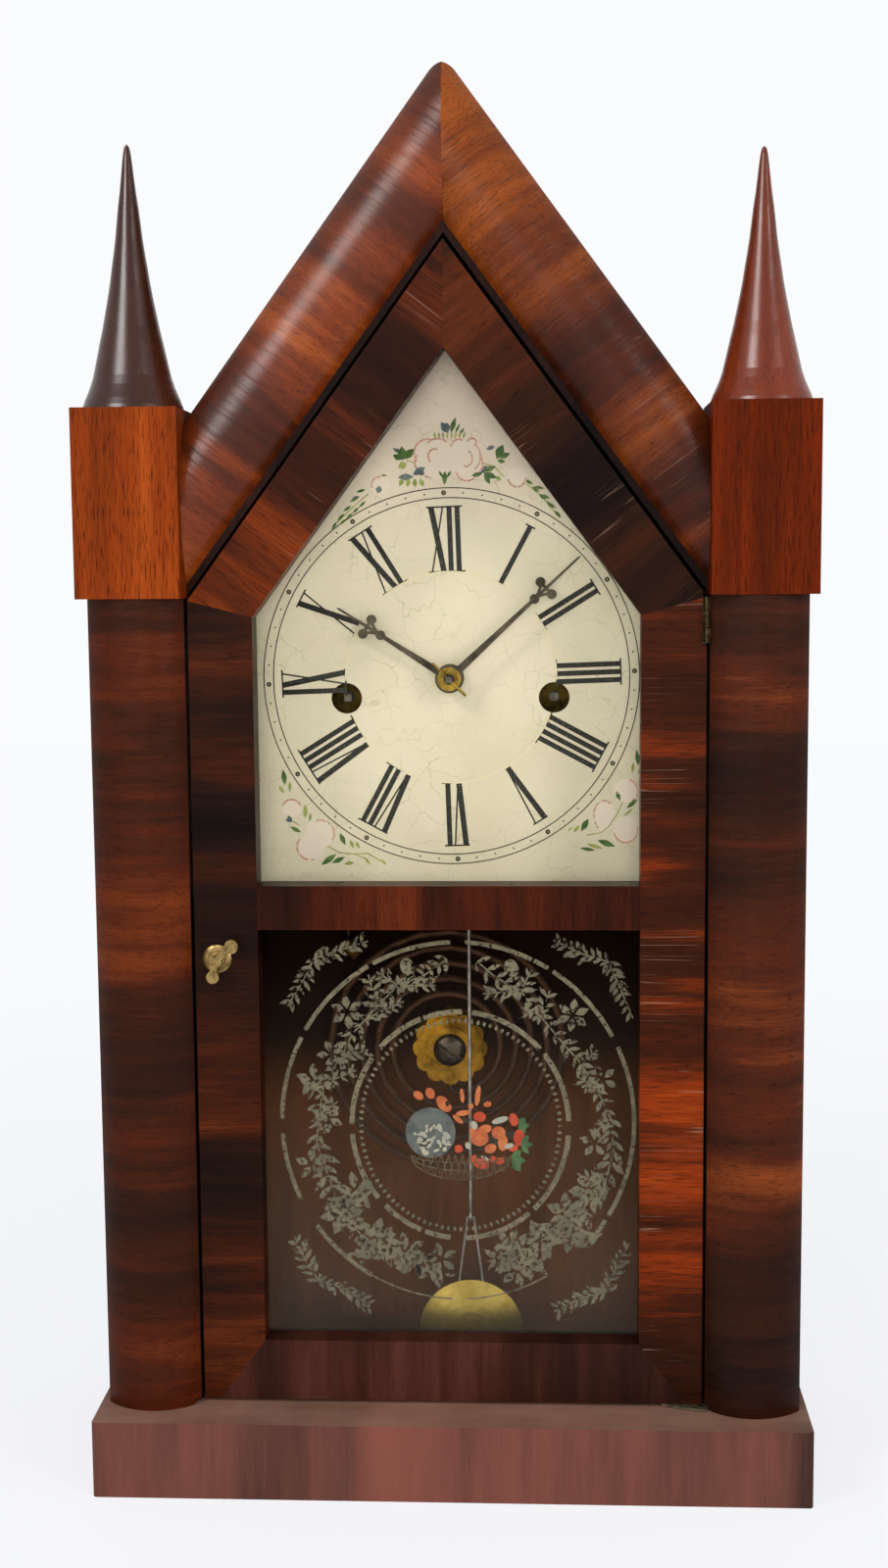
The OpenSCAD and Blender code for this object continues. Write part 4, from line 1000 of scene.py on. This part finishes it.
        light_leaves = [
            (-63.2, -43, 3.6, 1.4, 122), (-61, -42.6, 4.2, 1.2, 90), (-55.4, -52.4, 5.2, 1.8, 88),
            (-53.8, -53.8, 3.6, 1.0, 82), (-37.2, -64, 3.8, 1.5, 112), (-35, -64, 3.2, 1.2, 118),
            (-37, -69.2, 4.0, 1.5, 188), (-31, -70.2, 4.0, 1.1, 128), (-25, -70.2, 3.0, 1.0, 132),
            (45.2, -57.9, 3.6, 1.4, 50), (43, -57.4, 2.4, 0.8, 40), (67, -36, 4.4, 1.2, 85),
            (63.6, -52.2, 5.0, 1.0, 42), (50, -62.2, 6.6, 1.5, -17), (69, -36, 2.6, 0.9, 60),
            (-19, 77.6, 3.4, 2.8, 20), (19, 72.4, 2.8, 1.6, 150), (-23, 74.6, 2.6, 0.9, 180),
        ]
        light_leaves += [(-5 + 1.4 * k, 87.4, 3.0, 0.8, 105 - 5 * k) for k in range(8)]
        light_leaves += [(-17 + 2.0 * k, 73.4, 3.2, 1.8, 238 + 18 * k) for k in range(4)]
        for leaf in light_leaves:
            green.leaf(*leaf)
        dark_leaves = [
            (-62.8, -40, 6.2, 2.1, 96), (-57, -57.8, 4.8, 1.6, 152), (-40.4, -62.6, 5.0, 2.0, 114),
            (-43.8, -66, 7.2, 2.3, 216), (-40.6, -67.2, 5.6, 1.9, 204), (69.2, -33, 6.2, 1.7, 96),
            (62.6, -46.2, 4.2, 1.6, 112), (64.8, -49, 5.6, 1.7, 40), (48, -57.6, 5.6, 2.3, 60),
            (54, -60.8, 7.2, 2.4, -20), (47.4, -63.8, 6.2, 1.4, -9), (-2, 70.8, 5.2, 1.9, 88),
            (-2.4, 73.4, 3.2, 1.0, 122), (-1.2, 73.4, 3.2, 1.0, 58), (-17.4, 80, 5.2, 3.2, 92),
            (-17, 80.4, 5.4, 3.0, 44), (-17.6, 80.2, 3.8, 2.2, 150), (17.2, 80, 5.8, 3.4, 66),
            (18, 80.6, 4.4, 2.2, 20), (17.4, 79.6, 3.0, 1.8, -10), (12.4, 75.2, 5.4, 2.2, -22),
            (12.6, 75, 4.6, 2.0, -62), (12, 75, 4.2, 1.8, 192), (12.4, 75.6, 5.0, 2.0, 24),
            (0.4, 89.6, 6.2, 1.9, 72), (2, 89.4, 4.2, 1.0, 64), (3.2, 88.6, 3.8, 1.0, 52),
        ]
        dark_leaves += [(30.5 + 2.4 * k, 70.8 - 2.9 * k, 3.6, 1.3, 150 - 6 * k) for k in range(4)]
        dark_leaves += [(30.8 + 2.5 * k, 70.0 - 2.9 * k, 3.8, 1.2, -12 - 12 * k) for k in range(4)]
        dark_leaves += [(-31 - 2.7 * k, 69.6 - 2.9 * k, 3.8, 1.1, 196 + 10 * k) for k in range(5)]
        dark_leaves += [(-31 - 2.4 * k, 65.4 - 2.1 * k, 3.8, 1.0, 222) for k in range(4)]
        for leaf in dark_leaves:
            dark.leaf(*leaf)
        for leaf in [
            (-0.4, 89.6, 5.0, 2.8, 124), (-0.6, 90, 3.6, 2.4, 98), (-21, 84.4, 4.0, 1.6, -25),
            (13.4, 83.6, 3.4, 1.8, 20), (-13.4, 74, 5.8, 2.6, 182), (-13.6, 74.6, 5.4, 2.8, 32),
            (-10.6, 74.2, 2.4, 2.2, 80), (11, 75, 4.0, 2.4, 44), (-26.6, 68, 3.0, 2.4, 75),
            (-36.2, 66.4, 3.0, 1.2, 10), (-60.4, -54, 3.2, 1.6, 120), (-60.2, -53.6, 3.0, 1.4, 165),
        ]:
            slate.leaf(*leaf)
        for painter, tone, first, second in (
            (green, "light", "7d8a3e", "a3a75c"),
            (dark, "dark", "33561f", "55702f"),
            (slate, "slate", "4f5a60", "6f777a"),
        ):
            paint = WornPaint(tone + " leaf", first, second, 0.28, 700)
            painter.done("dial_" + tone + "_leaves", paint.material(), "case")
        fill.done("dial_roses", plain("rose cream", "e2d2c5"), "case")
        line.done("dial_rose_lines", WornPaint("rose pink", "c98f7e", "d6a696", 0.42, 500).material(), "case")

    def dress(self) -> None:
        """Paints the sheet and everything on it."""
        apex_tint_and_light_reach = (self.apex_tint_and_light_low * MM, self.apex_tint_and_light_high * MM)
        cream = DialPaint("dial cream", "d9ceb8", "d2c7af", "e4cec5", apex_tint_and_light_reach)
        dress(self.parts, ("dial_sheet",), cream.material())
        self.paint_ring()
        self.paint_flowers()


@dataclass
class Tablet:
    """The lower glass with its worn wreath, rings, corner sprigs and a small basket of flowers."""

    parts: Parts
    outer: tuple[Pair, Pair] = ((2.4, 132.4), (65.2, 67.8))
    inner: tuple[Pair, Pair] = ((3.4, 131.2), (40.2, 43.0))
    outer_line: float = 1.6
    faint_line: float = 0.6
    inner_line: float = 1.9
    bead_inset: float = 3.4
    bead_size: Pair = (0.95, 0.6)
    beads: int = 100
    stem_line: float = 0.6
    leaf_shape: float = 0.34
    petal_shape: float = 0.56
    half_width: float = 69.0
    low: float = 52.3
    high: float = 206.5
    paint: float = 0.04

    def _back(self) -> float:
        """Depth just behind the glass, in millimetres."""
        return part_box("tablet_glass")[1][1] / MM + 0.05

    def _inside(self, x: float, z: float, edge: float = 1.0) -> bool:
        """True where a point lies on the glass, away from its frame."""
        return abs(x) < self.half_width - edge and self.low + edge < z < self.high - edge

    def _leaf(self, ink: Painter, x: float, z: float, length: float, width: float, angle: float) -> None:
        """Paints a leaf if it stays on the glass.

        Args:
            ink: The painter.
            x: Where it starts, across.
            z: Where it starts, up.
            length: Its length.
            width: Its width.
            angle: The direction it grows in, in degrees.
        """
        a = math.radians(angle)
        if self._inside(x, z) and self._inside(x + length * math.cos(a), z + length * math.sin(a)):
            ink.leaf(x, z, length, width, angle)

    def _branch(self, ink: Painter, points: list[Pair], size: float, every: float,
                rng: random.Random) -> None:
        """Paints a stem with pairs of leaves along it.

        Args:
            ink: The painter.
            points: The stem's corners.
            size: Usual length of a leaf.
            every: Distance between two pairs.
            rng: Source of small differences.
        """
        ink.path(points, self.stem_line)
        for (x0, z0), (x1, z1) in zip(points, points[1:]):
            length = math.hypot(x1 - x0, z1 - z0)
            angle = math.degrees(math.atan2(z1 - z0, x1 - x0))
            steps = max(1, round(length / every))
            for k in range(steps):
                x, z = x0 + (x1 - x0) * k / steps, z0 + (z1 - z0) * k / steps
                for side in (-1, 1):
                    grown = size * rng.uniform(0.75, 1.2)
                    self._leaf(ink, x, z, grown, grown * self.leaf_shape, angle + side * rng.uniform(32, 62))

    def _blossom(self, ink: Painter, x: float, z: float, size: float, petals: int, turn: float) -> None:
        """Paints an open flower of pointed petals around a small gap.

        Args:
            ink: The painter.
            x: Its middle across.
            z: Its middle up.
            size: Length of a petal.
            petals: How many it has.
            turn: Where the first one points, in degrees.
        """
        for k in range(petals):
            angle = turn + 360 / petals * k
            a = math.radians(angle)
            self._leaf(ink, x + math.cos(a), z + math.sin(a), size, size * self.petal_shape, angle)

    def paint_rings(self) -> None:
        """Paints the two broken rings and the beads inside the inner one."""
        ink = Painter((0.0, 0.0), self._back(), 0.0, self.paint)
        dashes = [(92, 118), (120, 149), (152, 179), (184, 206), (216, 240), (65, 87), (59, 64), (29, 57),
                  (-31, 25), (-38, -33)]
        for start, end in dashes:
            ink.arc(*self.outer, self.outer_line, start, end, max(3, (end - start) // 3))
        for start, end in [(240, 268), (273, 300)]:
            ink.arc(*self.outer, self.faint_line, start, end, 9)
        for start, end in [(110, 138), (88, 110), (42, 84), (2, 40), (-48, -4), (-88, -50), (-110, -95),
                           (-135, -111), (-176, -139), (143, 180)]:
            ink.arc(*self.inner, self.inner_line, start + 0.8, end - 0.8, max(3, (end - start) // 4))
        (cx, cz), (rx, rz) = self.inner
        for k in range(self.beads):
            angle = 360 / self.beads * k
            a = math.radians(angle)
            ink.spot(cx + (rx - self.bead_inset) * math.cos(a), cz + (rz - self.bead_inset) * math.sin(a),
                     *self.bead_size, angle, sides=6)
        ink.done("tablet_rings", WornPaint("ring silver", "67675a", "817f6d", 0.36, 700).material(), "door")

    def paint_wreath(self) -> None:
        """Paints the wreath of leaves, buds and flowers, and the four corner sprigs."""
        ink = Painter((0.0, 0.0), self._back(), 0.0, self.paint)
        rng = random.Random(11)
        left = [(-1, 194), (-9, 188), (-19, 184), (-27, 176), (-36, 166), (-41, 156), (-47, 147), (-49, 135),
                (-50, 124), (-46, 112), (-42, 100), (-34, 89), (-22, 81), (-6, 78)]
        right = [(10, 193), (17, 187), (26, 182), (33, 173), (41, 163), (48, 155), (54, 145), (59, 134),
                 (60, 122), (57, 110), (49, 101), (40, 92), (28, 84), (13, 79)]
        for stem in (left, right):
            self._branch(ink, stem[:9], 5.2, 3.9, rng)
            self._branch(ink, stem[8:], 7.0, 3.9, rng)
        for x0, z0, x1, z1 in (
            (-19, 184, -27, 189), (-19, 184, -5, 184), (-27, 176, -30, 188), (-30, 172, -17, 178),
            (-41, 156, -30, 160), (-47, 147, -35, 152), (-49, 135, -42, 140), (26, 182, 12, 181),
            (26, 182, 30, 190), (33, 173, 37, 183), (33, 173, 26, 176), (48, 155, 54, 160),
            (54, 145, 47, 150), (59, 134, 52, 128), (57, 110, 48, 112),
        ):
            self._branch(ink, [(x0, z0), (x1, z1)], 4.2, 3.1, rng)
        for x, z in ((-15.6, 191), (22.6, 190.6)):
            ink.spot(x, z, 2.6, 3.4, 20, 14)
        for x, z, size, petals in (
            (-41, 97, 8.6, 6), (-36, 106, 7.6, 5), (-29, 88, 8.6, 6), (-17, 83, 7.6, 5), (43, 98, 8.6, 6),
            (51, 107, 8.0, 6), (33, 88, 8.6, 6), (21, 81, 7.6, 5), (-4, 80, 6.4, 5), (-38, 174, 6.4, 6),
            (45, 173, 6.2, 6), (-51, 148, 6.6, 5), (-44, 158, 5.6, 5), (-46, 134, 6.2, 6), (-52, 116, 6.4, 5),
            (56, 149, 5.6, 5), (53, 125, 5.8, 5), (-26, 86, 7.4, 6), (22, 86, 6.6, 6), (44, 90, 7.6, 7),
            (-14, 79, 7.0, 5), (24, 76, 7.0, 6),
        ):
            self._blossom(ink, x, z, size * 0.86, petals, rng.uniform(0, 60))
        for x, z, rx, rz in (
            (-41, 98, 3.6, 5.0), (-35, 103, 2.8, 3.6), (-33, 82, 3.6, 2.6), (46, 98, 3.4, 3.8),
            (50, 88, 3.0, 4.4), (-50, 146, 2.4, 2.2), (-6, 74, 4.6, 2.4), (30, 78, 4.4, 2.6),
        ):
            ink.spot(x, z, rx, rz, rng.uniform(0, 180), 9)
            for _ in range(4):
                angle = rng.uniform(0, 360)
                a = math.radians(angle)
                self._leaf(ink, x + rx * 0.7 * math.cos(a), z + rz * 0.7 * math.sin(a), 4.4, 1.8, angle)
        for arms in ([(-50, 194), (-41, 197), (-30, 200.5)], [(-50, 194), (-54, 186), (-60, 176)],
                     [(58, 193), (48, 196), (38, 201)], [(58, 193), (62, 184), (67, 172)],
                     [(-50, 71), (-55, 79), (-59, 88)], [(-50, 71), (-40, 68), (-30, 61)],
                     [(57, 68), (61, 77), (66, 87)], [(57, 68), (47, 65), (38, 60)]):
            self._branch(ink, arms, 4.6, 2.7, rng)
        ink.done("tablet_wreath", WornPaint("tablet silver", "62635a", "7b7b6b", 0.4, 620).material(), "door")

    def paint_basket(self) -> None:
        """Paints the basket with its ball, flowers and leaves in the middle."""
        back = self._back() - 0.01
        coral, red, white, blue, green, mesh, dark = (Painter((0.0, 0.0), back, 0.0, 0.05) for _ in range(7))
        rng = random.Random(3)
        blue.spot(-7.6, 128.4, 9.3, 9.6, 0, 28)
        for _ in range(44):
            a, q = rng.uniform(0, 2 * math.pi), 6.6 * math.sqrt(rng.random())
            white.spot(-7.4 + q * math.cos(a) * 1.05, 126.0 + q * math.sin(a) * 0.86, rng.uniform(0.5, 1.5),
                       rng.uniform(0.4, 0.8), rng.uniform(0, 180), 7)
        for x, z, rx, rz, turn in (
            (-12, 142.6, 2.1, 1.5, -40), (-7.6, 143.4, 1.7, 2.2, 20), (-2.6, 139.4, 3.6, 2.2, -50),
            (4.2, 142.6, 0.8, 2.8, 5), (10, 142.6, 1.0, 4.0, -8), (13.6, 139.4, 1.5, 1.1, 10),
            (4.6, 136, 2.8, 1.1, 10), (2.6, 133.6, 2.4, 0.9, -40), (7.4, 138.6, 1.0, 1.1, 0),
            (10.6, 126.4, 3.4, 3.0, 0), (12.4, 129.8, 2.8, 1.8, 20), (17.6, 128.6, 2.6, 2.4, 0),
            (19.2, 124.8, 1.9, 3.2, 0), (14.6, 122.6, 2.3, 1.8, 20), (8.2, 129, 1.4, 2.2, 0),
        ):
            coral.spot(x, z, rx, rz, turn, 12)
        for x, z, rx, rz in (
            (10.6, 134.6, 2.4, 2.0), (23.2, 133.6, 1.7, 2.6), (25.2, 126.8, 2.1, 3.2),
            (23.0, 122.8, 1.8, 1.4), (2.8, 122.4, 1.6, 1.6), (11.0, 116.8, 3.2, 2.0),
            (15.4, 118.4, 1.4, 1.4), (18.2, 117.8, 1.6, 1.4), (8.6, 118.4, 1.2, 1.8),
        ):
            red.spot(x, z, rx, rz, rng.uniform(-20, 20), 11)
        for x, z, rx, rz in ((18.2, 133.4, 3.2, 1.2), (8.6, 131.4, 1.2, 1.8), (21.4, 123.6, 1.8, 1.0),
                             (6.2, 123.6, 1.0, 1.4), (12.6, 118.8, 1.8, 0.6)):
            white.spot(x, z, rx, rz, rng.uniform(-30, 30), 9)
        for x, z, rx, rz in (
            (15.6, 126.2, 2.2, 2.0), (22.2, 128, 1.9, 1.8), (17, 131, 2.6, 0.9), (12, 122.2, 1.8, 0.8),
            (-1.2, 139.6, 0.9, 1.2), (5.6, 133.4, 1.6, 1.0), (-10, 124.8, 2.4, 1.5),
        ):
            dark.spot(x, z, rx, rz, rng.uniform(-30, 30), 9)
        for x, z, rx, rz in ((26.2, 131.4, 2.0, 2.4), (27, 124.2, 2.4, 1.9), (23.6, 118, 2.7, 2.6)):
            for k in range(3):
                green.leaf(x - 1.2, z, rx * 2.0, rz * 1.2, -50 + 50 * k)
        middle, rim, pitch = 3.6, 120.0, 2.6
        for k in range(14):
            x = -14.0 + pitch * k
            drop = 9.0 * math.sqrt(max(0.0, 1 - ((x - middle) / 19.5) ** 2))
            mesh.stroke((x, rim), (x + 2.0, rim - drop), 0.4)
            mesh.stroke((x + pitch, rim), (x, rim - drop), 0.4)
        for drop in (3.0, 6.0, 9.4):
            mesh.arc((middle, rim), (18.6, drop), 0.45, 185, 355, 16)
        done = (("coral_flowers", coral, "c0653a", "d5814f"), ("red_flowers", red, "b8381a", "c9502e"),
                ("white_flecks", white, "c2c7bd", "aeb8b6"), ("blue_ball", blue, "4c5a63", "66747a"),
                ("green_leaves", green, "34623e", "4a7a50"), ("basket", mesh, "4a4130", "665a44"),
                ("dark_flecks", dark, "1a120c", "2a1e16"))
        for name, painter, first, second in done:
            paint = WornPaint(name.replace("_", " ") + " paint", first, second, 0.27, 900)
            painter.done("tablet_" + name, paint.material(), "door")

    def dress(self) -> None:
        """Paints the glass and dresses both panes."""
        reach = (self.high * MM, self.low * MM)
        pane = WindowGlass("tablet pane", "f4f0ea", 0.05, grime=0.055, reach=reach)
        dress(self.parts, ("tablet_glass",), pane.material())
        dress(self.parts, ("dial_glass",), WindowGlass("dial pane", "fafaf6", 0.1).material())
        self.paint_rings()
        self.paint_wreath()
        self.paint_basket()


@dataclass
class Studio:
    """Floor, backdrop, lamps and the camera that stands where the photographer stood."""

    eye: Triple = (32.96, -710.45, 335.4)
    yaw: float = 2.88
    pitch: float = -6.39
    roll: float = 0.47
    lens: float = 43.72
    sensor: float = 36.0
    daylight: float = 0.55
    floor_half: float = 3.0

    def _seen(self, s: Shader) -> Socket:
        """Tells rays that look at the background straight, in a gloss or through glass.

        Args:
            s: The tree of the floor's material or of the world.

        Returns:
            1 for such a ray and 0 for any other.
        """
        path = s.node("LightPath").outputs
        eye = s.plus(path["Is Camera Ray"], path["Is Glossy Ray"])
        return s.plus(eye, path["Is Transmission Ray"], clamp=True)

    def floor(self) -> None:
        """Adds the pale floor, which keeps the clock's shadow and fades into the background."""
        s = Shader("pale floor")
        body = s.node("BsdfDiffuse", Color="faf9fd")
        glow = s.node("Emission", Color="f9fafd", Strength=1.0)
        away = s.node("VectorMath", operation="LENGTH", Vector=s.point()).outputs["Value"]
        fade = s.fade(away, reach=(0.15, 0.9), amount=(0.78, 1.0), soft=False)
        mesh = bmesh.new()
        bmesh.ops.create_grid(mesh, x_segments=1, y_segments=1, size=self.floor_half)
        data = bpy.data.meshes.new("floor")
        mesh.to_mesh(data)
        mesh.free()
        data.materials.append(s.finished(s.mixed(s.times(self._seen(s), fade), body, glow)))
        floor = bpy.data.objects.new("floor", data)
        bpy.context.scene.collection.objects.link(floor)

    def sky(self) -> None:
        """Makes the world near white to the eye, in metal and in glass, and softer as a light."""
        s = Shader("studio", world=True)
        room = s.node("Background", Color="f4f7fc", Strength=self.daylight)
        seen = s.node("Background", Color="fafbfd")
        bpy.context.scene.world = s.finished(s.mixed(self._seen(s), room, seen))

    def lamp(self, name: str, at: Triple, to: Triple, size: float, watts: float) -> bpy.types.Object:
        """Adds a square soft lamp.

        Args:
            name: The lamp's name.
            at: Where it hangs, in metres.
            to: The point it faces.
            size: Its width.
            watts: Its power.

        Returns:
            The lamp.
        """
        data = bpy.data.lights.new(name, "AREA")
        data.size, data.energy = size, watts
        made = bpy.data.objects.new(name, data)
        made.location = at
        made.rotation_mode = "QUATERNION"
        made.rotation_quaternion = (Vector(to) - Vector(at)).to_track_quat("-Z", "Y")
        bpy.context.scene.collection.objects.link(made)
        return made

    def camera(self) -> None:
        """Sets the camera at the photograph's place and angle."""
        data = bpy.data.cameras.new("camera")
        data.sensor_fit = "VERTICAL"
        data.sensor_height = data.sensor_width = self.sensor
        data.lens = self.lens
        data.clip_start, data.clip_end = 0.01, 20.0
        made = bpy.data.objects.new("camera", data)
        yaw, pitch, roll = (Matrix.Rotation(math.radians(angle), 3, axis)
                            for angle, axis in ((self.yaw, "Z"), (self.pitch, "X"), (self.roll, "Y")))
        turn = yaw @ pitch @ roll
        columns = (turn @ Vector((1, 0, 0)), turn @ Vector((0, 0, 1)), -(turn @ Vector((0, 1, 0))))
        made.matrix_world = Matrix.Translation(Vector(self.eye) * MM) @ Matrix(columns).transposed().to_4x4()
        bpy.context.scene.collection.objects.link(made)
        bpy.context.scene.camera = made

    def set_up(self) -> None:
        """Builds the whole studio."""
        self.floor()
        self.sky()
        front = self.lamp("front lamp", (0.0, -1.5, 0.42), to=(0.0, 0.0, 0.27), size=0.6, watts=10.0)
        window = self.lamp("window lamp", (-0.8, -0.75, 1.1), to=(0.0, 0.0, 0.3), size=0.25, watts=5.5)
        sheen = self.lamp("window sheen", (-0.65, -1.0, 0.95), to=(0.0, 0.0, 0.3), size=0.5, watts=16.0)
        self.lamp("side lamp", (1.1, -1.0, 0.8), to=(0.0, 0.0, 0.25), size=0.4, watts=8.0)
        front.visible_glossy = window.visible_glossy = sheen.visible_diffuse = False
        self.camera()
        bpy.context.scene.view_settings.view_transform = "Standard"


def main() -> None:
    """Loads the frame, dresses it, paints the dial and the tablet, and sets the studio."""
    logging.basicConfig(level=logging.INFO, format="%(message)s")
    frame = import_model()
    parts = frame["nodes"]
    Woodwork(parts).dress()
    Metalwork(parts).dress()
    Dial(parts).dress()
    Tablet(parts).dress()
    Studio().set_up()


if __name__ == "__main__":
    main()
